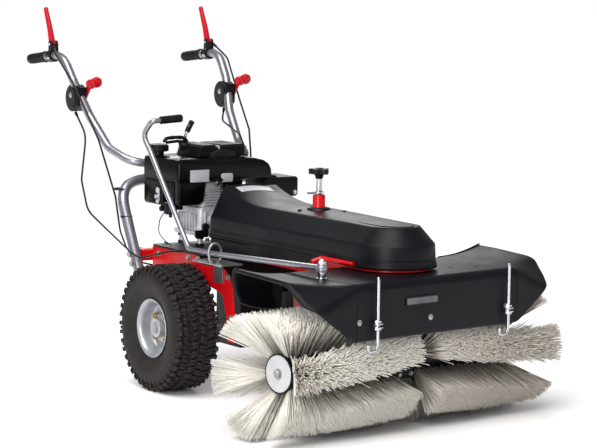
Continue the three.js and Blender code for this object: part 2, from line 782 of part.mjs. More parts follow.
function swivelRod() {
  const towardsGuide = new THREE.Vector3(guideX - pinPlace.x, guideY - pinPlace.y, 0).normalize();
  const start = pinPlace.clone().addScaledVector(towardsGuide, 13);
  const route = [
    start.toArray(), [guideX, guideY, guideZ], [guideX, -71, rodLowZ], [guideX, 165, 692], [guideX, 208, 734],
    [guideX, 154, 779], leverTop,
  ];
  const eyeSpan = [rodZ - rodRadius, rodZ + rodRadius];
  const eye = ring('z', 16, 6 + runGap, eyeSpan, [pinPlace.x, pinPlace.y, 0], 20);
  return join(bentTube(route, 26, rodRadius, 10, 3), eye);
}

add(machine, 'swivel_rod', swivelRod(), materials.tube);

const gripAxis = new THREE.Vector3(...gripEnd).sub(new THREE.Vector3(...leverTop)).normalize();
const gripGap = rodRadius * 0.05;
const leverGripStart = new THREE.Vector3(...leverTop).addScaledVector(gripAxis, gripGap);
add(
  machine, 'swivel_grip', sweep([leverGripStart, new THREE.Vector3(...gripEnd)], 12), materials.black,
);

// The guide loop stands on a bracket bolted to the right side plate; the rod slides through it.
const bracketZ = [rodLowZ - 26, rodLowZ - 22];
const bracketFace = -plateX - plateThickness - seatGap;
const tabThickness = 4;
const guideBracket = join(
  box([guideX - 26, bracketFace], [guideY - 70, guideY + 90], bracketZ),
  box([bracketFace - tabThickness, bracketFace], [guideY + 40, guideY + 90], [330, bracketZ[1]]),
);
function guideLoop() {
  const wire = 4;
  const reach = rodRadius + 8 + wire;
  const foot = bracketZ[1] - 2;
  const stations = [[guideX - reach * 0.6, guideY, foot], [guideX - reach, guideY, guideZ - 8]];
  for (let i = 0; i <= 8; i += 1) {
    const angle = Math.PI - (i / 8) * Math.PI;
    stations.push([guideX + reach * Math.cos(angle), guideY, guideZ + 8 + reach * Math.sin(angle)]);
  }
  stations.push([guideX + reach, guideY, guideZ - 8], [guideX + reach * 0.6, guideY, foot]);
  return sweep(stations.map((point) => new THREE.Vector3(...point)), wire, 8);
}

add(machine, 'guide_loop', join(guideBracket, guideLoop()), materials.chrome);

// Handle.

const crossLowZ = 595;
const crossLowY = 358;
const crossHighZ = 636;
const crossHighY = 350;
const legFootZ = 318;
const legLean = 0.524;
const legY = (z) => crossLowY + 10 - (crossLowZ - z) * legLean;

const columnRoute = [
  [-columnHalfWidth, legY(legFootZ), legFootZ], [-columnHalfWidth, legY(crossLowZ - 10), crossLowZ - 10],
  [columnHalfWidth, legY(crossLowZ - 10), crossLowZ - 10], [columnHalfWidth, legY(legFootZ), legFootZ],
];
add(machine, 'handle_column', bentTube(columnRoute, 90, columnTubeRadius, tubeSides, 6), materials.tube);

const gripRear = [886, 929];
const gripFront = [700, 950];
const halfBar = [
  [gripX, ...gripRear], [gripX, 668, 953], [gripX - 7, 606, 872], [252, 544, 770], [234, 455, 678],
  [204, crossHighY, crossHighZ],
];
const rightHalf = halfBar.map(([x, y, z]) => [-x, y, z]);
const barRoute = [...rightHalf, ...[...halfBar].reverse()];
add(machine, 'handlebar', bentTube(barRoute, 70, barTubeRadius), materials.tube);

const crossBore = (radius, y, z) => rod('x', holeRadius(radius, seatGap, 16), [-160, 160], [0, y, z], 16);
const lowTube = crossBore(columnTubeRadius, legY(crossLowZ - 10), crossLowZ - 10);
const highTube = crossBore(barTubeRadius, crossHighY, crossHighZ);

const clampBlock = plate('x', rounded([336, 394], [crossLowZ - 36, crossHighZ + 22], 10), [-60, 60], 2);
add(machine, 'tube_clamp', cut(clampBlock, lowTube, highTube), materials.black);

const barBore = holeRadius(barTubeRadius, seatGap, tubeSides);

function onBar(share, side, rise = 0) {
  const rear = new THREE.Vector3(side * gripX, ...gripRear);
  return rear.lerp(new THREE.Vector3(side * gripX, ...gripFront), share).add(new THREE.Vector3(0, 0, rise));
}

const straightLength = Math.hypot(gripRear[0] - gripFront[0], gripFront[1] - gripRear[1]);

for (const [name, side] of sides) {
  const start = onBar(-2 / straightLength, side);
  const end = onBar(gripLength / straightLength, side);
  const tooFar = [onBar(-0.1, side), onBar(gripLength / straightLength + 0.1, side)];
  const grip = cut(sweep([start, end], gripRadius, 16), sweep(tooFar, barBore));
  add(machine, `grip_${name}`, grip, materials.rubber);
}

const clampShare = [0.74, 0.9];
const leverPivot = [onBar(0.82, 1).y - 2, onBar(0.82, 1).z + 36];

for (const [name, side] of sides) {
  const collar = sweep(clampShare.map((share) => onBar(share, side)), barTubeRadius + 7, 16);
  const bore = sweep([onBar(0.6, side), onBar(1.05, side)], barBore);
  const middle = onBar(0.82, side);
  const outline = rounded([leverPivot[0] - 13, leverPivot[0] + 13], [middle.z + 12, leverPivot[1] + 12], 6);
  const cheek = (inside) => plate('x', outline, [side * gripX + inside, side * gripX + inside + 4], 2);
  const block = join(collar, cheek(-11), cheek(7));
  add(machine, `lever_clamp_${name}`, cut(block, bore), materials.black);
}

// The lever stands up from its pivot and folds back over the grip when it is squeezed.
function clutchLever(side) {
  const [y, z] = leverPivot;
  const blade = new THREE.Shape();
  blade.moveTo(y - 10, z - 2);
  blade.absarc(y, z, 10, Math.PI, Math.PI * 2);
  blade.lineTo(y + 26, z + 46);
  blade.quadraticCurveTo(y + 42, z + 74, y + 66, z + 104);
  blade.quadraticCurveTo(y + 64, z + 120, y + 48, z + 116);
  blade.quadraticCurveTo(y + 26, z + 84, y + 8, z + 52);
  return plate('x', blade, [side * gripX - 6.4, side * gripX + 6.4], 4);
}

for (const [name, side] of sides) {
  add(machine, `clutch_lever_${name}`, clutchLever(side), materials.red);
}

const housingX = 268;
const housingAt = [600, 822];
const housingHalf = 20;

for (const [name, side] of sides) {
  const span = mirrored([housingX - housingHalf, housingX + housingHalf], side);
  const shape = new THREE.Shape();
  shape.moveTo(housingAt[0] - 30, housingAt[1] + 34);
  shape.absarc(housingAt[0], housingAt[1], 42, 2.2, -1.9, true);
  shape.lineTo(housingAt[0] - 34, housingAt[1] - 24);
  const path = bent(side < 0 ? rightHalf : halfBar, 70);
  const tubeBore = sweep(path, barBore);
  add(machine, `control_housing_${name}`, cut(plate('x', shape, span, 12), tubeBore), materials.black);
}

// Both levers sit on the left face of their housing.
function controlLever(side) {
  const [y, z] = housingAt;
  const face = side * housingX + housingHalf;
  const arm = new THREE.Shape();
  arm.moveTo(y + 9, z - 11);
  arm.lineTo(y + 8, z + 12);
  arm.lineTo(y - 40, z + 44);
  arm.lineTo(y - 48, z + 33);
  arm.lineTo(y - 12, z - 8);
  const knob = plate('x', [
    [y - 36, z + 50], [y - 62, z + 66], [y - 92, z + 58],
    [y - 94, z + 44], [y - 58, z + 40], [y - 44, z + 28],
  ], [face - 5, face + 15]);
  return join(plate('x', arm, [face + seatGap, face + 8]), knob);
}

for (const [name, side] of sides) {
  add(machine, `control_lever_${name}`, controlLever(side), materials.red);
}

// Cables.

const cableRadius = 3;
const cable = (points) => bentTube(points, 60, cableRadius, 8, 2);

const caseRear = 206.4;

add(machine, 'control_cable_right', cable([
  [-housingX, housingAt[0] + 6, housingAt[1] - 46], [-275, 523, 712], [-284, 535, 572], [-272, 515, 478],
  [-240, 450, 425], [-215, 400, 385], [-190, 320, 335], [-150, caseRear, 325],
]), materials.cable);

add(machine, 'clutch_cable_right', cable([
  [-gripX - 8, leverPivot[0] - 17, leverPivot[1] - 4], [-308, 665, 955], [-314, 520, 860], [-290, 413, 705],
  [-276, 330, 540], [-276, 300, 440], [-276, 255, 385], [-262, 200, 365], [-226, 90, 396], [-216, 60, 399],
  [-201, 60, 399],
]), materials.cable);

add(machine, 'control_cable_left', cable([
  [housingX, housingAt[0] + 6, housingAt[1] - 46], [240, 570, 740], [200, 393, 708], [175, 300, 641],
  [165, 335, 540], [150, 345, 420], [70, 330, 318], [60, caseRear, 325],
]), materials.cable);

add(machine, 'clutch_cable_left', cable([
  [gripX + 8, leverPivot[0] - 17, leverPivot[1] - 4], [314, 665, 935], [314, 585, 803], [270, 453, 719],
  [200, 325, 640], [185, 325, 540], [170, 335, 420], [125, 330, 318], [110, caseRear, 325],
]), materials.cable);

// Engine.

const flangeZ = [434, 446];
const caseZ = [flangeZ[1], 518];
const engineSpanY = [engineY - 78, engineY + 76];

function engineBlock() {
  const legs = [];
  for (const x of [engineX - 84, engineX + 104]) {
    for (const y of [engineSpanY[0] + 14, deckRear - 16]) {
      legs.push(rod('z', 9, [deckTop + seatGap, flangeZ[0] + 4], [x, y, 0], 12));
    }
  }
  const flange = plate('z', rounded([engineX - 100, engineX + 120], engineSpanY, 16), flangeZ, 2);
  const caseSpanY = [engineSpanY[0] + 8, engineSpanY[1] - 8];
  const crankcase = plate('z', rounded([engineX - 92, engineX + 110], caseSpanY, 20), caseZ, 3);
  const body = join(flange, crankcase, ...legs);
  const recess = box([-62, 62], [engineSpanY[0] - 10, engineY + 62], [flangeZ[0] - 10, beltZ + 12]);
  const crankBore = rod('z', crankRadius + runGap, [beltZ, 505], [0, engineY, 0]);
  return cut(body, recess, crankBore);
}

add(machine, 'engine_block', engineBlock(), materials.alloy);

const shroudX = [-190, 140];
const shroudY = [100, 315];
const shroudZ = [600, 666];
const lowShroudZ = [519, shroudZ[0]];
const lowShroud = rounded([shroudX[0] + 38, shroudX[0] + 230], [shroudY[0] + 6, shroudY[1] - 6], 24);
const shroud = join(
  plate('z', rounded(shroudX, shroudY, 34), shroudZ, 3),
  plate('z', lowShroud, [lowShroudZ[0], shroudZ[0] + 5], 3),
);
add(machine, 'engine_shroud', shroud, materials.black);

const airCleanerX = [shroudX[0] - 2, shroudX[0] + 38 - seatGap];
const airCleaner = rounded([128, 300], [522, shroudZ[0] - seatGap], 14);
add(machine, 'air_cleaner', plate('x', airCleaner, airCleanerX, 2), materials.black);

const recoilAt = [engineX + 6, 205, 0];
const recoilZ = shroudZ[1] + seatGap;
add(machine, 'recoil_cover', turned('z', [
  [0, recoilZ], [92, recoilZ], [92, recoilZ + 10], [80, recoilZ + 30], [62, recoilZ + 38], [0, recoilZ + 38],
], recoilAt), materials.black);

add(machine, 'fuel_cap', turned('z', [
  [0, recoilZ], [17, recoilZ], [17, recoilZ + 12], [24, recoilZ + 13], [24, recoilZ + 34],
  [20, recoilZ + 38], [0, recoilZ + 38],
], [-160, 274, 0], 20), materials.black);

const starterOutline = [
  [-158, 706], [-150, 720], [-92, 722], [-80, 710], [-88, 703], [-106, 707], [-106, recoilZ], [-118, recoilZ],
  [-118, 707],
];
add(machine, 'starter_grip', plate('y', starterOutline, [230, 250]), materials.black);

const guardX = [shroudX[1] - 20, 246];
const guard = rounded([120, 240], [538, shroudZ[0] - seatGap], 12);
add(machine, 'muffler', plate('x', guard, guardX, 2), materials.black);

// Gear lever: pivots on the bracket of the rear beam and rises behind the engine.
const gearRoute = [[gearX, gearY, gearPivotZ - 10], [gearX, gearY, 690], [gearX + 10, gearY, 718]];
add(machine, 'gear_lever', bentTube(gearRoute, 30, 5, 8, 3), materials.chrome);

machine.updateMatrixWorld(true);
const extent = new THREE.Box3().setFromObject(machine);
const middle = extent.getCenter(new THREE.Vector3());
machine.position.set(-middle.x, -middle.y, -extent.min.z);

export default part;
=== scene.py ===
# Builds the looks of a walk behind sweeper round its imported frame.
# Shapes are drawn in millimetres: x to the left side, -y forward, z up from the ground under the axle.
import json
import math

import bmesh
import bpy
import numpy as np
from mathutils import Matrix, Vector


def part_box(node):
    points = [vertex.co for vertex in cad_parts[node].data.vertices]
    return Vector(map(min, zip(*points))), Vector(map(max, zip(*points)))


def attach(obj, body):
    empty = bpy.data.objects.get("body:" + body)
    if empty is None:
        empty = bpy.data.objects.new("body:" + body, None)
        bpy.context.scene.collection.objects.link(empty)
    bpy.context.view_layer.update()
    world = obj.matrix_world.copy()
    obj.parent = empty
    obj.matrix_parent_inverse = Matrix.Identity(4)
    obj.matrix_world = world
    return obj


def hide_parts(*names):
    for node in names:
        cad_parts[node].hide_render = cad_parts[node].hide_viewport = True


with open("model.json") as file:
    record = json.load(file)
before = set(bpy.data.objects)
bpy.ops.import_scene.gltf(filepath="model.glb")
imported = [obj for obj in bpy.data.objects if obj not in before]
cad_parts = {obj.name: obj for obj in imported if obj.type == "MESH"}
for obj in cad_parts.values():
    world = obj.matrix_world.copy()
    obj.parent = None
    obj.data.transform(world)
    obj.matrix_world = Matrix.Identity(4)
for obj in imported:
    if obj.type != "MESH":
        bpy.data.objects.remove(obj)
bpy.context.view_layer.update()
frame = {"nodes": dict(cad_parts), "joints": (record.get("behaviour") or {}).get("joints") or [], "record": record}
mm = 0.001
joints = {joint["name"]: joint for joint in frame["joints"]}
sides = (("right", -1), ("left", 1))


def nodeCentre(node):
    low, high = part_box(node)
    return (low + high) / 2


axleY = nodeCentre("axle").y  # the frame's origin is under the middle of the machine
toRow = Matrix.Translation((0, axleY, 0)) @ Matrix.Scale(mm, 4)
brushAxis = Vector(joints["brush_spin"]["axis"])
swivelAt = Vector(joints["brush_swivel"]["pos_m"])
headTurn = math.atan2(brushAxis.y, brushAxis.x)
headToRow = (Matrix.Translation((swivelAt.x, swivelAt.y, 0)) @ Matrix.Rotation(headTurn, 4, "Z")
             @ Matrix.Scale(mm, 4))


def drawn(node):
    # A node's corners in the millimetres that the shapes are drawn in.
    low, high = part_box(node)
    back = toRow.inverted()
    return back @ low, back @ high


def finishPiece(shape, name, body, slot, material, bevel=0.0, onHead=False, segments=2, smooth=40,
                bevelAngle=38, openSheet=False):
    # Gives a drawn shape its place, its material, its soft edges and its body.
    if not openSheet:
        bmesh.ops.recalc_face_normals(shape, faces=shape.faces[:])
    shape.transform(headToRow if onHead else toRow)
    mesh = bpy.data.meshes.new(name)
    shape.to_mesh(mesh)
    shape.free()
    for polygon in mesh.polygons:
        polygon.use_smooth = True
    mesh.set_sharp_from_angle(angle=math.radians(smooth))
    piece = bpy.data.objects.new(name, mesh)
    bpy.context.scene.collection.objects.link(piece)
    mesh.materials.append(material)
    if bevel:
        edge = piece.modifiers.new("softEdge", "BEVEL")
        edge.width = bevel * mm
        edge.segments = segments
        edge.limit_method = "ANGLE"
        edge.angle_limit = math.radians(bevelAngle)
        edge.harden_normals = True
    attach(piece, body)
    return piece


def merge(*shapes):
    # Puts several drawn shapes into the first one.
    whole = shapes[0]
    for shape in shapes[1:]:
        mesh = bpy.data.meshes.new("part")
        shape.to_mesh(mesh)
        shape.free()
        whole.from_mesh(mesh)
        bpy.data.meshes.remove(mesh)
    return whole


def alongAxis(axis):
    # Turns what is drawn along z so that it runs along the named axis.
    return {"x": Matrix.Rotation(math.pi / 2, 4, "Y"), "y": Matrix.Rotation(-math.pi / 2, 4, "X"),
            "z": Matrix.Identity(4)}[axis]


def turned(axis, profile, centre, steps=48):
    # Spins (radius, height) points about an axis.
    shape = bmesh.new()
    corners = [shape.verts.new((radius, 0, height)) for radius, height in profile]
    edges = [shape.edges.new(pair) for pair in zip(corners, corners[1:])]
    bmesh.ops.spin(shape, geom=corners + edges, cent=(0, 0, 0), axis=(0, 0, 1), angle=math.tau,
                   steps=steps, use_merge=True)
    bmesh.ops.remove_doubles(shape, verts=shape.verts[:], dist=0.001)
    bmesh.ops.recalc_face_normals(shape, faces=shape.faces[:])
    shape.transform(Matrix.Translation(centre) @ alongAxis(axis))
    return shape


def rod(axis, radius, span, centre, steps=24, endRadius=None):
    end = radius if endRadius is None else endRadius
    return turned(axis, [(0, span[0]), (radius, span[0]), (end, span[1]), (0, span[1])], centre, steps)


def ring(axis, outer, inner, span, centre, steps=40):
    profile = [(inner, span[0]), (outer, span[0]), (outer, span[1]), (inner, span[1]), (inner, span[0])]
    return turned(axis, profile, centre, steps)


def block(x, y, z):
    shape = bmesh.new()
    size = Matrix.Diagonal((x[1] - x[0], y[1] - y[0], z[1] - z[0], 1))
    bmesh.ops.create_cube(shape, size=1, matrix=Matrix.Translation((sum(x) / 2, sum(y) / 2, sum(z) / 2))
                          @ size)
    return shape


def plate(plane, outline, span):
    # Extrudes an outline. Plane "x" reads it as (y, z), "y" as (x, z) and "z" as (x, y).
    where = {"x": lambda u, v: (span[0], u, v), "y": lambda u, v: (u, span[0], v),
             "z": lambda u, v: (u, v, span[0])}
    depth = {"x": (1, 0, 0), "y": (0, 1, 0), "z": (0, 0, 1)}[plane]
    shape = bmesh.new()
    face = shape.faces.new([shape.verts.new(where[plane](u, v)) for u, v in outline])
    grown = bmesh.ops.extrude_face_region(shape, geom=[face])
    moved = [item for item in grown["geom"] if isinstance(item, bmesh.types.BMVert)]
    bmesh.ops.translate(shape, verts=moved, vec=Vector(depth) * (span[1] - span[0]))
    bmesh.ops.recalc_face_normals(shape, faces=shape.faces[:])
    return shape


def rounded(u, v, radius, steps=5):
    corners = [(u[1], v[0], -90), (u[1], v[1], 0), (u[0], v[1], 90), (u[0], v[0], 180)]
    outline = []
    for cornerU, cornerV, start in corners:
        middle = (cornerU - math.copysign(radius, cornerU - sum(u) / 2),
                  cornerV - math.copysign(radius, cornerV - sum(v) / 2))
        for step in range(steps + 1):
            angle = math.radians(start + 90 * step / steps)
            outline.append((middle[0] + radius * math.cos(angle), middle[1] + radius * math.sin(angle)))
    return outline


def curved(points, steps=6):
    # A smooth run through points of any dimension.
    run = []
    last = len(points) - 1
    for i in range(last):
        before, here, there, after = points[max(i - 1, 0)], points[i], points[i + 1], points[min(i + 2, last)]
        for step in range(steps):
            t = step / steps
            run.append(tuple(
                0.5 * (2 * b + (c - a) * t + (2 * a - 5 * b + 4 * c - d) * t * t
                       + (3 * b - a - 3 * c + d) * t ** 3)
                for a, b, c, d in zip(before, here, there, after)
            ))
    return run + [tuple(points[last])]


def bent(points, radius, steps=8):
    # Rounds the corners of a run of points, as a pipe bender does.
    corners = [Vector(point) for point in points]
    route = [corners[0]]
    for before, corner, after in zip(corners, corners[1:], corners[2:]):
        back, ahead = before - corner, after - corner
        reach = min(radius / math.tan(back.angle(ahead) / 2), back.length * 0.48, ahead.length * 0.48)
        start, end = corner + back.normalized() * reach, corner + ahead.normalized() * reach
        for step in range(steps + 1):
            t = step / steps
            route.append(start * (1 - t) ** 2 + corner * 2 * t * (1 - t) + end * t * t)
    return route + [corners[-1]]


def tube(route, radius, sidesRound=20, radii=None):
    # Sweeps a circle along a route, with a cap at each end.
    curve = bpy.data.curves.new("route", "CURVE")
    curve.dimensions = "3D"
    curve.bevel_depth = radius
    curve.bevel_resolution = max((sidesRound - 4) // 4, 0)
    curve.use_fill_caps = True
    curve.twist_mode = "MINIMUM"
    spline = curve.splines.new("POLY")
    spline.points.add(len(route) - 1)
    for i, (point, place) in enumerate(zip(spline.points, route)):
        point.co = (*place, 1)
        point.radius = radii[i] if radii else 1
    holder = bpy.data.objects.new("route", curve)
    mesh = bpy.data.meshes.new_from_object(holder)
    shape = bmesh.new()
    shape.from_mesh(mesh)
    bmesh.ops.remove_doubles(shape, verts=shape.verts[:], dist=0.001)
    bpy.data.objects.remove(holder)
    bpy.data.curves.remove(curve)
    bpy.data.meshes.remove(mesh)
    return shape


def pillow(plane, outline, span, radius, steps=4, soft=(True, True)):
    # A plate with rounded edges, lofted through inset copies of its outline.
    count = len(outline)
    area = sum(outline[i - 1][0] * outline[i][1] - outline[i][0] * outline[i - 1][1] for i in range(count))
    way = 1 if area > 0 else -1
    normals = []
    for i in range(count):
        (au, av), (bu, bv), (cu, cv) = outline[i - 1], outline[i], outline[(i + 1) % count]
        first = Vector((bv - av, au - bu)).normalized()
        second = Vector((cv - bv, bu - cu)).normalized()
        middle = (first + second).normalized()
        normals.append(middle * (way / max(middle.dot(first), 0.5)))
    low, high = span
    levels = []
    for step in range(steps + 1):
        angle = math.pi / 2 * step / steps
        levels.append((radius * (1 - math.sin(angle)), low + radius * (1 - math.cos(angle)))
                      if soft[0] else (0, low))
    for step in range(steps, -1, -1):
        angle = math.pi / 2 * step / steps
        levels.append((radius * (1 - math.sin(angle)), high - radius * (1 - math.cos(angle)))
                      if soft[1] else (0, high))
    where = {"x": lambda u, v, w: (w, u, v), "y": lambda u, v, w: (u, w, v),
             "z": lambda u, v, w: (u, v, w)}[plane]
    shape = bmesh.new()
    for inset, height in levels:
        for (u, v), normal in zip(outline, normals):
            shape.verts.new(where(u - normal.x * inset, v - normal.y * inset, height))
    shape.verts.ensure_lookup_table()
    rows = [list(shape.verts)[i * count:(i + 1) * count] for i in range(len(levels))]
    loops = []
    for row in rows:
        loops.append([shape.edges.new((row[i - 1], row[i])) for i in range(count)])
    for lower, upper in zip(loops, loops[1:]):
        bmesh.ops.bridge_loops(shape, edges=lower + upper)
    bmesh.ops.contextual_create(shape, geom=rows[0])
    bmesh.ops.contextual_create(shape, geom=rows[-1])
    bmesh.ops.remove_doubles(shape, verts=shape.verts[:], dist=0.01)
    bmesh.ops.recalc_face_normals(shape, faces=shape.faces[:])
    return shape


def hexBolt(axis, across, span, centre, washer=0.0):
    # A hexagon head with a chamfered crown, on a washer.
    low, high = span
    corner = across / 2 / math.cos(math.pi / 6)
    head = turned(axis, [(0, low), (corner, low), (corner, high - (high - low) * 0.2),
                         (corner * 0.86, high), (0, high)], centre, 6)
    if not washer:
        return head
    step = math.copysign(1.6, high - low)
    return merge(head, rod(axis, washer, (low - step, low), centre, 28))


def nodeCopy(node):
    # A CAD node's shape in drawn millimetres, with its flat faces whole again.
    shape = bmesh.new()
    shape.from_mesh(frame["nodes"][node].data)
    bmesh.ops.remove_doubles(shape, verts=shape.verts[:], dist=0.00002)
    bmesh.ops.dissolve_limit(shape, angle_limit=math.radians(1.5), verts=shape.verts[:], edges=shape.edges[:])
    shape.transform(toRow.inverted())
    return shape


def makeFinish(name, look):
    # A principled shader whose colour, roughness and grain vary over the surface. Scales are per metre.
    material = bpy.data.materials.new(name)
    material.use_nodes = True
    nodes, links = material.node_tree.nodes, material.node_tree.links
    shader = nodes["Principled BSDF"]
    place = nodes.new("ShaderNodeTexCoord")
    patches = nodes.new("ShaderNodeTexNoise")
    patches.inputs["Scale"].default_value = look.get("patchScale", 18)
    patches.inputs["Detail"].default_value = 6
    patches.inputs["Roughness"].default_value = 0.62
    links.new(place.outputs["Object"], patches.inputs["Vector"])
    tint = nodes.new("ShaderNodeMix")
    tint.data_type = "RGBA"
    tint.inputs[6].default_value = (*look["colour"], 1)
    tint.inputs[7].default_value = (*look.get("second", look["colour"]), 1)
    spread = nodes.new("ShaderNodeMapRange")
    spread.inputs["From Min"].default_value = look.get("patchLow", 0.38)
    spread.inputs["From Max"].default_value = look.get("patchHigh", 0.68)
    links.new(patches.outputs["Fac"], spread.inputs["Value"])
    links.new(spread.outputs["Result"], tint.inputs["Factor"])
    links.new(tint.outputs[2], shader.inputs["Base Color"])
    gloss = nodes.new("ShaderNodeMapRange")
    gloss.inputs["To Min"].default_value = look["roughness"] - look.get("roughnessSpread", 0.05)
    gloss.inputs["To Max"].default_value = look["roughness"] + look.get("roughnessSpread", 0.05)
    gloss.inputs["From Min"].default_value = 0.3
    gloss.inputs["From Max"].default_value = 0.7
    links.new(patches.outputs["Fac"], gloss.inputs["Value"])
    links.new(gloss.outputs["Result"], shader.inputs["Roughness"])
    shader.inputs["Metallic"].default_value = look.get("metallic", 0)
    shader.inputs["Specular IOR Level"].default_value = look.get("specular", 0.5)
    shader.inputs["Coat Weight"].default_value = look.get("coat", 0)
    shader.inputs["Coat Roughness"].default_value = look.get("coatRoughness", 0.1)
    shader.inputs["Sheen Weight"].default_value = look.get("sheen", 0)
    grain = nodes.new("ShaderNodeTexNoise")
    grain.inputs["Scale"].default_value = look.get("grainScale", 900)
    grain.inputs["Detail"].default_value = 3
    links.new(place.outputs["Object"], grain.inputs["Vector"])
    bump = nodes.new("ShaderNodeBump")
    bump.inputs["Strength"].default_value = look.get("grain", 0.15)
    bump.inputs["Distance"].default_value = look.get("grainDepth", 0.0004)
    links.new(grain.outputs["Fac"], bump.inputs["Height"])
    links.new(bump.outputs["Normal"], shader.inputs["Normal"])
    return material


finishes = {name: makeFinish(name, look) for name, look in {
    "redPaint": {"colour": (0.66, 0.003, 0.007), "second": (0.58, 0.0025, 0.006), "roughness": 0.36,
                 "coat": 0.12, "coatRoughness": 0.2, "specular": 0.35, "grainScale": 420, "grain": 0.08},
    "silverPaint": {"colour": (0.33, 0.33, 0.365), "second": (0.27, 0.27, 0.305), "roughness": 0.30,
                    "metallic": 0.7, "coat": 0.3, "grainScale": 1500, "grain": 0.07, "patchScale": 40},
    "rimPaint": {"colour": (0.46, 0.47, 0.50), "second": (0.34, 0.34, 0.37), "roughness": 0.34,
                 "metallic": 0.5, "coat": 0.25, "grainScale": 900, "grain": 0.08, "patchScale": 25},
    "chrome": {"colour": (0.62, 0.64, 0.67), "second": (0.48, 0.49, 0.52), "roughness": 0.12, "metallic": 1,
               "grainScale": 500, "grain": 0.04, "patchScale": 60},
    "zinc": {"colour": (0.46, 0.46, 0.45), "second": (0.33, 0.33, 0.33), "roughness": 0.36, "metallic": 0.9,
             "grainScale": 700, "grain": 0.12, "patchScale": 60},
    "yellowZinc": {"colour": (0.52, 0.44, 0.26), "second": (0.40, 0.33, 0.20), "roughness": 0.3,
                   "metallic": 0.9, "grainScale": 700, "grain": 0.1, "patchScale": 90},
    "castAlloy": {"colour": (0.72, 0.72, 0.75), "second": (0.50, 0.50, 0.53), "roughness": 0.42,
                  "metallic": 0.5,
                  "grainScale": 520, "grain": 0.45, "grainDepth": 0.0006, "patchScale": 45},
    "hoodBlack": {"colour": (0.0050, 0.0040, 0.0066), "second": (0.0038, 0.0031, 0.0050), "roughness": 0.42,
                  "specular": 0.20, "grainScale": 1500, "grain": 0.10, "patchScale": 9},
    "glossBlack": {"colour": (0.0016, 0.0016, 0.0020), "second": (0.0026, 0.0026, 0.0030),
                   "roughness": 0.24, "coat": 0.04,
                   "coatRoughness": 0.06, "specular": 0.16, "grainScale": 300, "grain": 0.03},
    "satinBlack": {"colour": (0.0036, 0.0033, 0.0040), "second": (0.0066, 0.0060, 0.0072), "roughness": 0.40,
                   "specular": 0.24, "grainScale": 900, "grain": 0.18},
    "tyreRubber": {"colour": (0.0125, 0.010, 0.0095), "second": (0.024, 0.019, 0.018), "roughness": 0.62,
                   "specular": 0.3, "grainScale": 700, "grain": 0.3, "patchScale": 22,
                   "roughnessSpread": 0.1},
    "gripRubber": {"colour": (0.0045, 0.0044, 0.0050), "second": (0.0085, 0.0082, 0.0092), "roughness": 0.50,
                   "specular": 0.24, "grainScale": 1200, "grain": 0.35},
    "redPlastic": {"colour": (0.56, 0.002, 0.010), "second": (0.46, 0.0015, 0.008), "roughness": 0.34,
                   "coat": 0.05, "specular": 0.3, "grainScale": 800, "grain": 0.06, "patchScale": 30},
    "cableBlack": {"colour": (0.005, 0.005, 0.0055), "second": (0.010, 0.010, 0.010), "roughness": 0.38,
                   "specular": 0.3, "grainScale": 1600, "grain": 0.15},
    "labelWhite": {"colour": (0.50, 0.50, 0.52), "second": (0.42, 0.42, 0.44), "roughness": 0.35,
                   "grain": 0.02},
    "badgeSilver": {"colour": (0.16, 0.16, 0.17), "second": (0.11, 0.11, 0.12), "roughness": 0.3,
                    "metallic": 0.8, "grainScale": 900, "grain": 0.1},
    "hubWhite": {"colour": (0.55, 0.56, 0.58), "second": (0.45, 0.46, 0.48), "roughness": 0.4, "grain": 0.1},
}.items()}


def makeBristleFinish():
    # Off-white filament, with painted shade towards the core and on the far side of the brush, and a tone that
    # varies at random from strand to strand.
    # The root colour is painted shade near the core; the brownish third colour is painted shade on the far side of
    # the brush.
    look = {"tip": (0.93, 0.91, 0.865), "root": (0.60, 0.565, 0.51), "farSideShade": (0.50, 0.43, 0.375)}
    material = bpy.data.materials.new("bristleNylon")
    material.use_nodes = True
    nodes, links = material.node_tree.nodes, material.node_tree.links
    shader = nodes["Principled BSDF"]
    toneAndShade = nodes.new("ShaderNodeAttribute")
    toneAndShade.attribute_name = "strandToneAndSideShade"
    reach = nodes.new("ShaderNodeAttribute")
    reach.attribute_name = "strandReach"
    mixes = []
    for low, high in ((look["root"], look["tip"]), (look["farSideShade"], look["tip"])):
        mix = nodes.new("ShaderNodeMix")
        mix.data_type = "RGBA"
        mix.inputs[6].default_value = (*low, 1)
        mix.inputs[7].default_value = (*high, 1)
        mixes.append(mix)
    # Painted shade: each strand darkens from tip to root, where the filaments crowd round the core.
    links.new(reach.outputs["Fac"], mixes[0].inputs["Factor"])
    links.new(toneAndShade.outputs["Fac"], mixes[1].inputs["Factor"])
    both = nodes.new("ShaderNodeMix")
    both.data_type = "RGBA"
    both.blend_type = "MULTIPLY"
    both.inputs["Factor"].default_value = 0.8
    links.new(mixes[0].outputs[2], both.inputs[6])
    links.new(mixes[1].outputs[2], both.inputs[7])
    links.new(both.outputs[2], shader.inputs["Base Color"])
    shader.inputs["Roughness"].default_value = 0.45
    shader.inputs["Sheen Weight"].default_value = 0.15
    return material


finishes["bristle"] = makeBristleFinish()
slotFinish = {
    "tyre": "tyreRubber", "rim_paint": "rimPaint", "steel": "zinc", "red_paint": "redPaint",
    "tube_paint": "silverPaint",
    "chrome": "chrome", "zinc": "zinc", "cast_alloy": "castAlloy", "bristle": "bristle",
    "red_plastic": "redPlastic",
    "rubber": "gripRubber", "cable": "cableBlack", "black_casting": "satinBlack",
    "black_plastic": "hoodBlack",
}
nodeSlot = {row["node"]: row["material_slot"] for row in frame["record"]["subparts"]}
nodeBody = {node: body for body, members in frame["record"]["behaviour"]["bodies"].items()
            for node in members}
for node, thing in frame["nodes"].items():
    thing.data.materials.clear()
    thing.data.materials.append(finishes[slotFinish[nodeSlot[node]]])
print("finishes made:", len(finishes))


def stand(shape, node, finish=None, name=None, **options):
    # A finished piece that stands for a CAD node.
    slot = nodeSlot[node]
    material = finishes[finish or slotFinish[slot]]
    piece = finishPiece(shape, name or node + "_skin", nodeBody[node], slot, material, **options)
    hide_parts(node)
    return piece


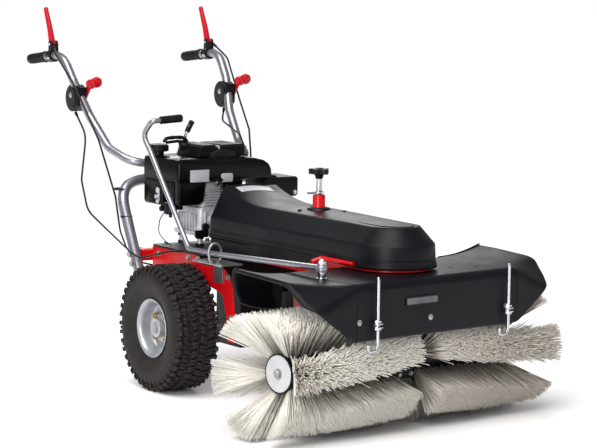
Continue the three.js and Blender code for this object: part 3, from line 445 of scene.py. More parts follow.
def extra(shape, name, body, slot, finish, **options):
    return finishPiece(shape, name, body, slot, finishes[finish], **options)


wheel = {
    "radius": 186, "treadDepth": 8, "lugRows": (-39.5, -13.2, 13.2, 39.5), "lugCount": 42,
    "lugLength": 7.4, "lugGap": 2.6,
    "lugWidth": 21, "lugSkew": 17, "shoulderX": 60, "shoulderRibLength": 30, "beadRadius": 84, "rimLip": 57,
}


def crownDrop(x):
    return 0.0042 * abs(x) ** 1.9


def buildTyre(centre):
    base = wheel["radius"] - wheel["treadDepth"]
    half = [(50, wheel["beadRadius"] + 3), (55, 88), (58, 96), (60, 100), (66, 112), (71.5, 128),
            (73, 142), (71.5, 154), (67, 164), (59, base - 6.5), (46, base - 3), (26, base - 0.8), (0, base)]
    outer = curved(half, 4)
    left = [(radius, x) for x, radius in outer]
    right = [(radius, -x) for x, radius in reversed(outer[:-1])]
    loop = ([(wheel["beadRadius"], 46)] + left + right
            + [(wheel["beadRadius"], -46), (wheel["beadRadius"], 46)])
    shape = turned("z", loop, (0, 0, 0), 96)
    for height in (61.4, 63.6):  # moulded rings on the wall
        for face in (-1, 1):
            radius = 100 + (height - 60) * 4
            shape = merge(shape, ring("z", radius + 1.2, radius - 1.2,
                                      (face * (height - 3), face * (height + 1.0)), (0, 0, 0), 96))
    pitch = math.tau / wheel["lugCount"]
    lugs = bmesh.new()

    def lug(angle, x, size, skew, lift=0.0, tilt=0.0):
        place = (Matrix.Rotation(angle, 4, "Z")
                 @ Matrix.Translation((wheel["radius"] - wheel["treadDepth"] / 2 - lift, 0, x)))
        lean = Matrix.Rotation(math.radians(tilt), 4, "Y") @ Matrix.Rotation(math.radians(skew), 4, "X")
        bmesh.ops.create_cube(lugs, size=1, matrix=place @ lean @ Matrix.Diagonal((*size, 1)))

    depth = wheel["treadDepth"] + 3
    for row, x in enumerate(wheel["lugRows"]):
        skew = wheel["lugSkew"] * (1 if row % 2 else -1)
        drop = crownDrop(x) + 1.5
        slope = math.degrees(math.atan(0.0042 * 1.9 * abs(x) ** 0.9)) * (1 if x > 0 else -1)
        for i in range(wheel["lugCount"]):
            angle = (i + 0.5 * (row % 2)) * pitch
            step = (wheel["lugLength"] + wheel["lugGap"]) / 2 / wheel["radius"]
            size = (depth, wheel["lugLength"], wheel["lugWidth"])
            lug(angle - step, x, size, skew, drop, slope)
            lug(angle + step, x, size, skew, drop, slope)
            end = wheel["lugWidth"] / 2 - 3
            lug(angle, x + end * (1 if i % 2 else -1), (depth - 1, wheel["lugGap"] + 4, 5), skew,
                drop + 0.6, slope)
    for face in (-1, 1):
        for i in range(wheel["lugCount"]):
            angle = (i + 0.25) * pitch
            lug(angle, face * wheel["shoulderX"], (12, 11, 15), 0, 5.5, face * 32)
            if i % 2:
                lug(angle + pitch / 2, face * (wheel["shoulderX"] + 2.5), (18, 9, 9), 0, 12.5, face * 40)
            lug(angle, face * 69.2, (wheel["shoulderRibLength"], 4.2, 6.5), 0, 24, face * 6)
    for edge in bmesh.ops.bevel(
        lugs, geom=lugs.edges[:], offset=0.9, segments=1, profile=0.5, affect="EDGES", material=-1
    )["faces"]:
        edge.smooth = True
    shape = merge(shape, lugs)
    shape.transform(Matrix.Translation(centre) @ alongAxis("x"))
    return shape


def buildRim(side, centre):
    lip = wheel["rimLip"]
    outer = curved([(76.5, lip - 14), (77.5, lip - 7), (83, lip - 2), (86.5, lip + 0.5),
                    (85.5, lip + 2.5), (82, lip + 1.5), (76.5, lip - 4), (73.5, lip - 12), (72.5, 30),
                    (69, 19), (61, 15), (50, 17.5), (42, 23), (35, 25.5)], 4)
    face = (outer + [(29, 26), (28, 45), (26.5, 46.4), (13.2, 46.4), (13.2, -30), (27, -30), (27, 10),
                     (68, 10), (73, 4), (73, -lip + 8), (78, -lip), (86, -lip), (86, -lip - 1.5),
                     (80, -lip - 1.5), (76.5, -lip + 6), (76.5, lip - 14)])
    shape = turned("z", face, (0, 0, 0), 72)
    if side < 0:
        shape.transform(Matrix.Rotation(math.pi, 4, "Y"))
    shape.transform(Matrix.Translation(centre) @ alongAxis("x"))
    return shape


def buildWheels():
    for name, side in sides:
        low, high = drawn("rim_" + name)
        centre = Vector(((low.x + high.x) / 2, 0, wheel["radius"]))
        stand(buildTyre(centre), "tyre_" + name, smooth=50)
        stand(buildRim(side, centre), "rim_" + name, smooth=42)
        bolts = bmesh.new()
        for i in range(4):
            angle = math.radians(45 + 90 * i)
            place = (centre.x, centre.y + 43 * math.cos(angle), centre.z + 43 * math.sin(angle))
            span = (side * 22, side * 34)
            bolts = merge(bolts, hexBolt("x", 17, span, place, 12),
                          rod("x", 5, (side * 30, side * 39), place, 16))
        extra(bolts, "wheel_nuts_" + name, "wheel_" + name, "zinc", "yellowZinc", bevel=0.4)
        valve = rod("x", 4.2, (side * 8, side * 44), (centre.x, centre.y - 40, centre.z + 50), 16)
        valve = merge(valve, rod("x", 5.4, (side * 36, side * 46),
                                 (centre.x, centre.y - 40, centre.z + 50), 12))
        extra(valve, "tyre_valve_" + name, "wheel_" + name, "rubber", "gripRubber", bevel=0.5)


buildWheels()
axleEnds = rod("x", 12.3, (-325, 325), (0, 0, wheel["radius"]), 32)
for name, side in sides:
    axleEnds = merge(axleEnds, ring("x", 17.5, 12, (side * 321.8, side * 323.4), (0, 0, wheel["radius"]), 32))
stand(axleEnds, "axle", "zinc", bevel=0.8)
print("wheels made")


brush = {
    "height": 180, "radius": 178.6, "coreRadius": 48, "rows": 6, "tufts": 15, "start": 54, "pitch": 24.2,
    "twist": 16, "phase": 0.66, "tuftRadius": 6.8, "fanAlong": 15, "fanRound": 50,
    "splay": (0.05, 0.18, 0.40, 0.66, 0.88), "tipX": 503,
    "strands": 235, "strandRadius": 1.25, "discX": 412, "seed": 7,
}


def strandTemplate():
    # One filament of unit length with a joint half way, drawn by operators and then bent in copies.
    shape = bmesh.new()
    bmesh.ops.create_cone(
        shape, cap_ends=True, cap_tris=True, segments=3, radius1=1, radius2=0.78, depth=1,
        matrix=Matrix.Translation((0, 0, 0.5)),
    )
    everything = shape.verts[:] + shape.edges[:] + shape.faces[:]
    bmesh.ops.bisect_plane(shape, geom=everything, plane_co=(0, 0, 0.55), plane_no=(0, 0, 1))
    bmesh.ops.triangulate(shape, faces=shape.faces[:])
    shape.verts.index_update()
    points = np.array([vert.co for vert in shape.verts])
    faces = np.array([[vert.index for vert in face.verts] for face in shape.faces])
    shape.free()
    return points, faces


def tuftAngle(row, tuft):
    # Each row of tufts winds a little way round the core.
    return (math.tau * row / brush["rows"] + math.radians(brush["twist"]) * tuft / brush["tufts"]
            + brush["phase"])


def buildBristles(name, side, firstRow, lastRow):
    dice = np.random.default_rng(brush["seed"] + 10 * firstRow + side)
    points, faces = strandTemplate()
    count = brush["strands"]
    allPoints, tonesAndShades, reaches = [], [], []
    for row in range(firstRow, lastRow):
        for tuft in range(brush["tufts"]):
            rootX = brush["start"] + tuft * brush["pitch"]
            fromEnd = brush["tufts"] - 1 - tuft
            steps = len(brush["splay"])
            splay = brush["splay"][steps - 1 - fromEnd] if fromEnd < steps else 0
            full = count + (90 if fromEnd == 0 else 0)
            angle = tuftAngle(row, tuft)
            spin = dice.uniform(0, math.tau, full)
            out = np.sqrt(dice.uniform(0, 1, full))
            rootAlong = rootX + out * np.cos(spin) * brush["tuftRadius"]
            rootRound = out * np.sin(spin) * brush["tuftRadius"]
            stray = np.where(dice.uniform(0, 1, full) < 0.03, 1.25, 1.0)
            leanAlong = out * np.cos(spin) * brush["fanAlong"] * stray + dice.normal(0, 3, full)
            leanRound = dice.uniform(-1, 1, full) * brush["fanRound"] * stray + dice.normal(0, 3, full)
            leanAlong = leanAlong + splay * 104 * (1 + 0.25 * out * np.cos(spin))
            base = brush["coreRadius"] - 4
            tipRadius = brush["radius"] * (1 - 0.035 * dice.uniform(0, 1, full) ** 2)
            length = np.sqrt(np.maximum(tipRadius ** 2 - (rootRound + leanRound) ** 2, 1)) - base
            length = length * (1 - 0.10 * np.clip(splay, 0, 1) * dice.uniform(0.3, 1, full))
            leanAlong = np.minimum(leanAlong, brush["tipX"] - rootAlong)
            bend = dice.normal(0, 1.3, (2, full))
            t = points[:, 2][None, :]
            thick = brush["strandRadius"] * dice.uniform(0.8, 1.2, full)[:, None]
            along = (rootAlong[:, None] + leanAlong[:, None] * t ** 1.05
                     + bend[0][:, None] * t * (1 - t) * 4 + points[:, 0] * thick)
            roundly = (rootRound[:, None] + leanRound[:, None] * t ** 1.05
                       + bend[1][:, None] * t * (1 - t) * 4 + points[:, 1] * thick)
            outward = base + length[:, None] * t
            y = outward * math.cos(angle) - roundly * math.sin(angle)
            z = brush["height"] + outward * math.sin(angle) + roundly * math.cos(angle)
            allPoints.append(np.stack([along * side, y, np.maximum(z, 1.2)], axis=-1).reshape(-1, 3))
            # Painted light and shade: towards its outer end the near half turns whiter and the far half browner;
            # the random spread is the strands' own tone.
            toneAndShade = np.clip(0.64 - 0.5 * side * rootX / 400 + dice.normal(0, 0.16, full), 0, 1)
            tonesAndShades.append(np.repeat(toneAndShade, len(points)))
            # strandReach runs from root to tip and drives the painted shade near the core.
            reaches.append(np.broadcast_to(np.clip(0.1 + 1.5 * t, 0, 1), (full, len(points))).reshape(-1))
    placed = np.concatenate(allPoints)
    total = len(placed) // len(points)
    allFaces = (faces[None] + (np.arange(total) * len(points))[:, None, None]).reshape(-1, 3)
    if side < 0:
        allFaces = allFaces[:, ::-1]
    turn = np.array(headToRow)
    placed = placed @ turn[:3, :3].T + turn[:3, 3]
    mesh = bpy.data.meshes.new(name)
    mesh.from_pydata(placed.tolist(), [], allFaces.tolist())
    for label, values in (("strandToneAndSideShade", tonesAndShades), ("strandReach", reaches)):
        mesh.attributes.new(label, "FLOAT", "POINT").data.foreach_set("value",
            np.concatenate(values).astype(np.float32))
    for polygon in mesh.polygons:
        polygon.use_smooth = True
    mesh.materials.append(finishes["bristle"])
    piece = bpy.data.objects.new(name, mesh)
    bpy.context.scene.collection.objects.link(piece)
    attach(piece, "brush")
    return piece


def buildBrush():
    for name, side in sides:
        for group in range(2):
            first = group * brush["rows"] // 2
            piece = buildBristles(f"bristles_{name}_{group + 1}", side, first, first + brush["rows"] // 2)
            if not group:
                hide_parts("bristles_" + name)
        centre = (0, 0, brush["height"])
        outer = brush["discX"]
        core = turned("x", [
            (13, side * 40), (brush["coreRadius"] - 0.5, side * 40),
            (brush["coreRadius"] - 0.5, side * (outer - 9)),
            (53.5, side * (outer - 9)), (53.5, side * outer), (13, side * outer), (13, side * 40),
        ], centre, 72)
        teeth = bmesh.new()
        for i in range(30):
            turn = Matrix.Translation(centre) @ Matrix.Rotation(math.tau * i / 30, 4, "X")
            size = Matrix.Diagonal((3, 7, 2.4, 1))
            bmesh.ops.create_cube(teeth, size=1,
                                  matrix=turn @ Matrix.Translation((side * (outer + 0.6), 0, 52)) @ size)
        for row in range(brush["rows"]):
            for tuft in range(brush["tufts"]):
                angle = tuftAngle(row, tuft)
                x = side * (brush["start"] + tuft * brush["pitch"])
                turn = Matrix.Translation(centre) @ Matrix.Rotation(angle - math.pi / 2, 4, "X")
                bmesh.ops.create_cone(
                    core, cap_ends=True, segments=12, radius1=10.5, radius2=8.6, depth=8,
                    matrix=turn @ Matrix.Translation((x, 0, brush["coreRadius"] + 1.5)),
                )
        stand(merge(core, teeth), "brush_core_" + name, onHead=True, smooth=35)
        disc = turned("x", [(0, side * outer), (49.5, side * outer), (49.5, side * (outer + 1.5)),
                            (48.5, side * (outer + 2.4)), (0, side * (outer + 2.4))], centre, 72)
        extra(disc, "brush_cap_" + name, "brush", "steel", "hubWhite", onHead=True)
        bolt = hexBolt("x", 19, (side * (outer + 3.6), side * (outer + 11)), centre, 15)
        extra(bolt, "brush_bolt_" + name, "brush", "steel", "zinc", onHead=True, bevel=0.4)
    stand(rod("x", 12, (-418, 418), (0, 0, brush["height"]), 32), "brush_shaft", onHead=True)


buildBrush()
gearbox = {"half": 32, "deep": 52, "low": 132, "high": 230, "neck": 34.5, "collar": 50.5}


def buildGearbox():
    low, high = gearbox["low"], gearbox["high"]
    case = block((-gearbox["half"], gearbox["half"]), (-gearbox["deep"], gearbox["deep"]), (low, high))
    neck = turned("z", [(11, high - 4), (46, high - 4), (gearbox["neck"], high + 22),
                        (gearbox["neck"], 437.4), (gearbox["collar"], 437.4), (gearbox["collar"], 441.6),
                        (11, 441.6), (11, high - 4)], (0, 0, 0), 48)
    case = merge(case, neck)
    for y in (-36, -12, 12, 36):
        case = merge(case, block((-gearbox["half"] - 3, gearbox["half"] + 3), (y - 2.5, y + 2.5),
                                 (low + 6, high - 6)))
    stand(case, "brush_gearbox", onHead=True, bevel=2.5, segments=3)
    bolts = bmesh.new()
    for x in (-22, 22):
        for z in (low + 12, high - 12):
            bolts = merge(bolts, hexBolt("y", 11, (-gearbox["deep"], -gearbox["deep"] - 7), (x, 0, z), 8))
    extra(bolts, "gearbox_bolts", "head", "zinc", "zinc", onHead=True, bevel=0.3)


buildGearbox()
print("brush made")


hood = {
    "half": 300, "top": 428, "front": -181, "rear": 122, "faceBottom": 275, "thickness": 3.5, "bend": 24,
    "earX": 467, "earRise": 26, "lip": 13, "badge": (-126, -6), "badgeHeight": (357, 381),
}


def arc(centre, radius, start, end, steps=10):
    return [(centre[0] + radius * math.cos(math.radians(start + (end - start) * i / steps)),
             centre[1] + radius * math.sin(math.radians(start + (end - start) * i / steps)))
            for i in range(steps + 1)]


def buildHoodShell():
    top, front, rear, wall, bend = hood["top"], hood["front"], hood["rear"], hood["thickness"], hood["bend"]
    outline = [(front, hood["faceBottom"] + 4), (front, top - bend)]
    outline += arc((front + bend, top - bend), bend, 180, 90)[1:]
    outline += arc((rear - 8, top - 8), 8, 90, 0, 5)
    outline += [(rear, top - 52), (rear - wall, top - 52)]
    outline += arc((rear - 8, top - 8), 8 - wall, 0, 90, 5)
    outline += arc((front + bend, top - bend), bend - wall, 90, 180)
    outline += [(front + wall, hood["faceBottom"] + 12), (front + 14, hood["faceBottom"] + 4),
                (front + 14, hood["faceBottom"]), (front + 3, hood["faceBottom"])]
    shell = plate("x", outline, (-hood["half"], hood["half"]))
    stand(shell, "hood_shell", onHead=True, bevel=0.7, smooth=30)
    screws = bmesh.new()
    for x, z in ((-331 + 38, 327), (-32, 320), (258, 325)):
        screws = merge(screws, rod("y", 8, (front, front - 1.6), (x, 0, z), 28))
        screws = merge(screws, turned("y", [(0, front - 1.6), (5.6, front - 1.6), (5.2, front - 3.6),
                                            (3.4, front - 5), (0, front - 5.4)], (x, 0, z), 24))
    extra(screws, "face_screws", "head", "chrome", "zinc", onHead=True)
    plugs = bmesh.new()
    for x, y in ((150, -70), (222, -96)):
        plugs = merge(plugs, turned("z", [(0, top - 1), (9, top - 1), (9, top + 0.6), (6.4, top + 1),
                                          (6, top + 0.2), (0, top + 0.2)], (x, y, 0), 28))
    extra(plugs, "hood_plugs", "head", "black_plastic", "satinBlack", onHead=True)
    left, right = hood["badge"]
    frameFace = plate("y", rounded((left, right), hood["badgeHeight"], 3), (front - 3, front))
    extra(frameFace, "badge_frame", "head", "black_plastic", "satinBlack", onHead=True, bevel=0.8)
    inner = rounded((left + 3.5, right - 3.5),
                    (hood["badgeHeight"][0] + 3.5, hood["badgeHeight"][1] - 3.5), 1.5)
    extra(plate("y", inner, (front - 3.9, front - 1)), "blank_badge", "head", "chrome", "badgeSilver",
          onHead=True, bevel=0.4)


def buildHoodEnd(name, side):
    top, front, rear, earX = hood["top"], hood["front"], hood["rear"], hood["earX"]
    edge = curved([
        (earX - 4, rear, top, 1), (earX, 60, top, 0.88), (earX, 0, top, 0.7), (earX, -83, top, 0.35),
        (earX - 5, -118, top - 20, 0.1), (earX - 14, -150, top - 46, 0), (earX - 36, front + 4, top - 66, 0),
        (earX - 74, front, top - 94, 0), (hood["half"] + 14, front, hood["faceBottom"] + 6, 0),
    ], 5)
    root = curved([
        (rear, top), (60, top), (0, top), (-110, top), (front + 22, top - 0.4), (front + 6, top - 7),
        (front, top - 24), (front, top - 80), (front, hood["faceBottom"]),
    ], 5)
    across = 9
    rows = len(edge)
    shape = bmesh.new()
    bmesh.ops.create_grid(shape, x_segments=rows - 1, y_segments=across + 1, size=0.5)
    shape.verts.ensure_lookup_table()
    for vert in shape.verts:
        i = round((vert.co.x + 0.5) * (rows - 1))
        j = round((vert.co.y + 0.5) * (across + 1))
        x, y, z, lift = edge[i]
        share = min(j / across, 1)
        place = Vector((hood["half"] + 0.4, *root[i])).lerp(Vector((x, y, z)), share)
        place.z += hood["earRise"] * share * share * lift
        turn = min(max((i / 5 - 3) / 3, 0), 1) * (math.pi / 2)
        if j > across:
            place += Vector((0, math.sin(turn), -math.cos(turn))) * hood["lip"]
        vert.co = Vector((place.x * side, place.y, place.z))
    bmesh.ops.recalc_face_normals(shape, faces=shape.faces[:])
    faceUp = sum((face.normal.z - face.normal.y) * face.calc_area() for face in shape.faces)
    if faceUp < 0:
        bmesh.ops.reverse_faces(shape, faces=shape.faces[:])
    piece = stand(shape, "hood_end_" + name, onHead=True, smooth=180, openSheet=True)
    wall = piece.modifiers.new("wall", "SOLIDIFY")
    wall.thickness = hood["thickness"] * mm
    wall.offset = -1
    soft = piece.modifiers.new("soft", "SUBSURF")
    soft.levels = soft.render_levels = 2


def buildRearWall(name, side):
    # The end's rear wall curves down behind the bristles.
    top, rear = hood["top"], hood["rear"]
    section = curved([(rear - 3, 0), (rear + 10, -6), (rear + 22, -30), (rear + 20, -62), (rear + 8, -96)], 5)
    shape = bmesh.new()
    bmesh.ops.create_grid(shape, x_segments=len(section) - 1, y_segments=8, size=0.5)
    for vert in shape.verts:
        y, drop = section[round((vert.co.x + 0.5) * (len(section) - 1))]
        share = vert.co.y + 0.5
        x = hood["half"] + (hood["earX"] - 6 + drop * 0.26 - hood["half"]) * share
        vert.co = Vector((x * side, y, top - 1 + drop + hood["earRise"] * share * share))
    if side < 0:
        bmesh.ops.reverse_faces(shape, faces=shape.faces[:])
    piece = extra(shape, "hood_rear_wall_" + name, "head", "black_plastic", "hoodBlack", onHead=True,
                  smooth=180, openSheet=True)
    wall = piece.modifiers.new("wall", "SOLIDIFY")
    wall.thickness = hood["thickness"] * mm
    wall.offset = -1


def buildHood():
    buildHoodShell()
    for name, side in sides:
        buildHoodEnd(name, side)
        buildRearWall(name, side)


buildHood()

hook = {"radius": 4.5, "top": 446, "bottom": 250, "reach": 34, "rightX": -238, "leftX": 256,
        "clampHeight": 319}


def buildHooks():
    y = hood["front"] - hook["radius"] - 8
    for name, x in (("right", hook["rightX"]), ("left", hook["leftX"])):
        reach = x - hook["reach"]
        route = bent([(x, y, hook["top"] - 4), (x, y, hook["bottom"]), (reach, y, hook["bottom"]),
                      (reach, y, 268)], 16, 10)
        shape = tube(route, hook["radius"], 20)
        tip = turned("z", [(0, hook["top"]), (2.6, hook["top"] - 1.4), (4.5, hook["top"] - 5),
                           (4.5, hook["top"] - 8), (0, hook["top"] - 8)], (x, y, 0), 20)
        shape = merge(shape, tip)
        for z in (hook["clampHeight"] - 6, hook["clampHeight"] + 3.5):
            shape = merge(shape, turned("z", [(0, z - 2.2), (14.5, z - 2.2), (15.5, z), (14.5, z + 2.2),
                                              (0, z + 2.2)], (x, y, 0), 32))
        shape = merge(shape, hexBolt("z", 17, (hook["clampHeight"] + 5.6, hook["clampHeight"] + 12),
                                     (x, y, 0)))
        shape = merge(shape, hexBolt("z", 17, (hook["clampHeight"] - 8, hook["clampHeight"] - 14.5),
                                     (x, y, 0)))
        shape = merge(shape, block((x - 9, x + 9), (y, hood["front"] - 0.4),
                                   (hook["clampHeight"] - 5, hook["clampHeight"] + 3)))
        stand(shape, "hook_rod_" + name, onHead=True, bevel=0.4)


buildHooks()
print("hood made")


cover = {
    "half": 117, "topHalf": 72, "base": 438, "shoulder": 500, "top": 549, "rise": 37, "rampStart": -190,
    "rear": 36, "wall": 3, "spread": 38, "crown": 7, "noseSteps": 40, "sideSteps": 34, "label": (-44, 74),
    "skirt": 402, "skirtFront": -520,
}


def rampShare(y):
    share = max((y - cover["rampStart"]) / (cover["rear"] - cover["rampStart"]), 0)
    return min(share * share * 1.1, 1)


def coverTopZ(x, y):
    # Height of the top panel, which is slightly crowned behind the nose.
    fade = min(max((y + 700) / 160, 0), 1)
    across = min(abs(x) / cover["topHalf"], 1)
    return cover["top"] + cover["rise"] * rampShare(y) + cover["crown"] * fade * (1 - across * across)


def coverProfile():
    # (inset, height, share of the ramp's rise) from the rim to the edge of the flat top.
    slope = cover["half"] - 3 - cover["topHalf"]
    low, shoulder, top = cover["base"], cover["shoulder"], cover["top"]
    run = [(-3.2, low, 0), (-3.2, low + 7, 0), (-2.4, low + 9.4, 0), (0.2, low + 10.2, 0),
           (0.4, low + 20.6, 0), (2.0, low + 21.6, 0), (2.2, low + 24.4, 0), (0.8, low + 25.6, 0),
           (1.4, 478, 0), (2.2, shoulder - 3.5, 0), (3.2, shoulder + 0.6, 0.01), (6.2, shoulder + 4.4, 0.06)]
    for share in (0.2, 0.36, 0.52, 0.68, 0.82):
        run.append((3 + slope * share, shoulder + (top - shoulder) * share, share))
    run += [(3 + slope * 0.92, top - 4, 0.92), (3 + slope * 0.985, top - 1, 0.98),
            (3 + slope + 2, top - 0.2, 1)]
    return run


def coverPoint(step, inset, height, share):
    # A point of the cover's outline: down the right side, round the nose and back up the left.
    half = cover["half"] - inset
    pivot = -752
    straight = cover["sideSteps"]
    nose = cover["noseSteps"]
    rear = cover["rear"] - max(inset, 0) * 0.06
    if step <= straight:
        y, x = rear + (pivot - rear) * (step / straight) ** 1.3, -half
    elif step < straight + nose:
        angle = math.pi * (1 + (step - straight) / nose)
        y, x = pivot + half * math.sin(angle), half * math.cos(angle)
    else:
        back = 2 * straight + nose - step
        y = rear + (pivot - rear) * (back / straight) ** 1.3
        x = half + cover["spread"] * share * (y - pivot) / (cover["rear"] - pivot)
    return Vector((x, y, height + cover["rise"] * rampShare(y) * share))


def buildCover():
    count = 2 * cover["sideSteps"] + cover["noseSteps"] + 1
    profile = coverProfile()
    shape = bmesh.new()
    first = [shape.verts.new(coverPoint(step, *profile[0])) for step in range(count)]
    chain = [shape.edges.new(pair) for pair in zip(first, first[1:])]
    for level in profile[1:]:
        grown = bmesh.ops.extrude_edge_only(shape, edges=chain)["geom"]
        new = [item for item in grown if isinstance(item, bmesh.types.BMVert)]
        chain = [item for item in grown if isinstance(item, bmesh.types.BMEdge)
                 and all(v in set(new) for v in item.verts)]
        shape.verts.index_update()
        for step, vert in enumerate(sorted(new, key=lambda item: item.index)):
            vert.co = coverPoint(step, *level)
    shape.verts.ensure_lookup_table()
    last = list(shape.verts)[-count:]
    for i in range(count // 2):
        j = count - 1 - i
        if j - 1 > i + 1:
            shape.faces.new((last[i], last[i + 1], last[j - 1], last[j]))
        elif j - 1 == i + 1:
            shape.faces.new((last[i], last[i + 1], last[j]))
    across = [edge for edge in shape.edges if edge.verts[0] in last and edge.verts[1] in last
              and abs(edge.verts[0].co.x - edge.verts[1].co.x) > 60
              and abs(edge.verts[0].co.y - edge.verts[1].co.y) < 2]
    split = bmesh.ops.subdivide_edges(shape, edges=across, cuts=8, use_grid_fill=True)
    for item in split["geom_inner"]:
        if isinstance(item, bmesh.types.BMVert):
            item.co.z = coverTopZ(item.co.x, item.co.y)
    shape.verts.ensure_lookup_table()
    rows = [list(shape.verts)[level * count] for level in range(len(profile))]
    ends = [list(shape.verts)[level * count + count - 1] for level in range(len(profile))]
    gate = [i for i, level in enumerate(profile) if level[1] >= 470]
    for a, b in zip(gate, gate[1:]):
        shape.faces.new((rows[a], rows[b], ends[b], ends[a]))
    bmesh.ops.recalc_face_normals(shape, faces=shape.faces[:])
    if sum(face.normal.z * face.calc_area() for face in shape.faces) < 0:
        bmesh.ops.reverse_faces(shape, faces=shape.faces[:])
    piece = stand(shape, "belt_cover", smooth=38, openSheet=True)
    wall = piece.modifiers.new("wall", "SOLIDIFY")
    wall.thickness = cover["wall"] * mm
    wall.offset = -1
    left, right = cover["label"]
    label = bmesh.new()
    bmesh.ops.create_grid(label, x_segments=12, y_segments=10, size=0.5)
    for vert in label.verts:
        x = left + (right - left) * (vert.co.x + 0.5)
        y = -24 + 36 * (vert.co.y + 0.5)
        vert.co = Vector((x, y, coverTopZ(x, y) + 1.2))
    strip = extra(label, "cover_label", "chassis", "chrome", "labelWhite", openSheet=True)
    thick = strip.modifiers.new("wall", "SOLIDIFY")
    thick.thickness = 1.2 * mm
    skirt = bmesh.new()
    rear, front = cover["rear"] - 4, cover["skirtFront"]
    for side in (-1, 1):
        edge = [(rear, 446), (rear, cover["skirt"]), (front + 40, cover["skirt"] + 8), (front - 20, 446)]
        skirt = merge(skirt, plate("x", edge, (side * 112.4, side * 115.2)))
        skirt = merge(skirt, plate("x", [(-300, 446), (-300, 404), (-297.6, 404), (-297.6, 494), (-300, 494)],
                                   (side * 114.8, side * 116.4)))
    extra(skirt, "cover_skirt", "chassis", "black_plastic", "hoodBlack", bevel=0.5)
    panel = pillow("z", [(x * 0.8, y) for x, y in arc((0, -752), 66, 180, 360, 24)]
                   + [(50, -640), (-50, -640)], (546, 551.2), 2.4, 3)
    extra(panel, "cover_panel", "chassis", "black_plastic", "hoodBlack")
    pads = bmesh.new()
    for x, y in ((-50, -352), (44, -440)):
        level = coverTopZ(x, y) - 0.5
        pads = merge(pads, turned("z", [(0, level), (6, level), (6, level + 3), (4, level + 4.4),
                                        (0, level + 4.4)], (x, y, 0), 24))
    extra(pads, "cover_screws", "chassis", "zinc", "satinBlack")


buildCover()


def softCopy(node, bevel=1.0, smooth=35, segments=2):
    # The CAD node's own shape with soft edges.
    return stand(nodeCopy(node), node, bevel=bevel, smooth=smooth, segments=segments)


spindle = {"y": -375, "sleeveTop": 598, "knobLow": 653, "knobTop": 675, "knobReach": 31, "lobes": 5}


def buildSpindle():
    at = (0, spindle["y"], 0)
    top = spindle["sleeveTop"]
    sleeve = turned("z", [(14.8, 350), (18, 350), (18, 550), (25, 550), (25, 556), (18.4, 557), (18, 560),
                          (18, top - 3), (16.6, top), (14.8, top), (14.8, 350)], at, 48)
    stand(sleeve, "spindle_sleeve", smooth=30)
    lip = turned("z", [(18.6, 558), (26, 563), (29, 562), (33, 558), (36, 552), (18.6, 552), (18.6, 558)],
                 at, 48)
    extra(lip, "sleeve_seal", "chassis", "black_plastic", "satinBlack")
    low, high, reach = spindle["knobLow"], spindle["knobTop"], spindle["knobReach"]
    knob = turned("z", [(0, low - 10), (9, low - 10), (11, low - 6), (13, low + 1), (17, low + 6),
                        (0, low + 6)], at, 40)
    rim = []
    for step in range(120):
        angle = math.tau * step / 120
        radius = reach - 4.4 + 4 * math.cos(spindle["lobes"] * angle)
        rim.append((radius * math.cos(angle), spindle["y"] + radius * math.sin(angle)))
    star = plate("z", rim, (low + 4, high - 2))
    knob = merge(knob, star)
    knob = merge(knob, turned("z", [(0, high - 2), (13, high - 2), (11, high - 0.6), (0, high)], at, 40))
    stand(knob, "height_knob", "satinBlack", bevel=2.6, segments=4, smooth=45)
    cap = turned("z", [(0, high - 1.2), (9.5, high - 1.2), (9.5, high + 0.2), (8, high + 0.9),
                       (0, high + 1.2)], at, 40)
    extra(cap, "knob_cap", "height_knob", "red_paint", "redPaint")
    screw = rod("z", 8, (462, low - 8), at, 32)
    for z in range(612, 634, 3):
        screw = merge(screw, ring("z", 8.7, 7, (z, z + 1.4), at, 32))
    screw = merge(screw, turned("z", [(0, top + 0.6), (11, top + 0.6), (11.4, top + 2), (11.4, top + 9),
                                      (8, top + 12.6), (0, top + 12.6)], at, 40))
    screw = merge(screw, hexBolt("z", 18, (low - 14, low - 8), at))
    extra(screw, "height_screw", "height_knob", "zinc", "chrome", bevel=0.3)
    pin = rod("x", 2.6, (-40, 14), (0, spindle["y"], top + 6), 20)
    for x in range(-39, -10, 4):
        pin = merge(pin, ring("x", 3.2, 2.4, (x, x + 2), (0, spindle["y"], top + 6), 20))
    extra(pin, "cross_pin", "height_knob", "zinc", "zinc", bevel=0.3)
    softCopy("caster_stem", 0.8)
    softCopy("caster_fork", 1.2)
    caster = {"radius": 80, "half": 23, "at": (0, spindle["y"] + 34, 80)}
    tread = ([(6.8, -caster["half"] - 4)] + curved([(20, -caster["half"] - 3), (40, -caster["half"] + 3),
                                                    (62, -caster["half"]), (75, -caster["half"] + 3),
                                                    (79.6, -12), (80, 0), (79.6, 12),
                                                    (75, caster["half"] - 3), (62, caster["half"]),
                                                    (40, caster["half"] - 3), (20, caster["half"] + 3)],
                                                   4) + [(6.8, caster["half"] + 4),
        (6.8, -caster["half"] - 4)])
    stand(turned("x", tread, caster["at"], 72), "caster_wheel")


buildSpindle()
print("cover and spindle made")


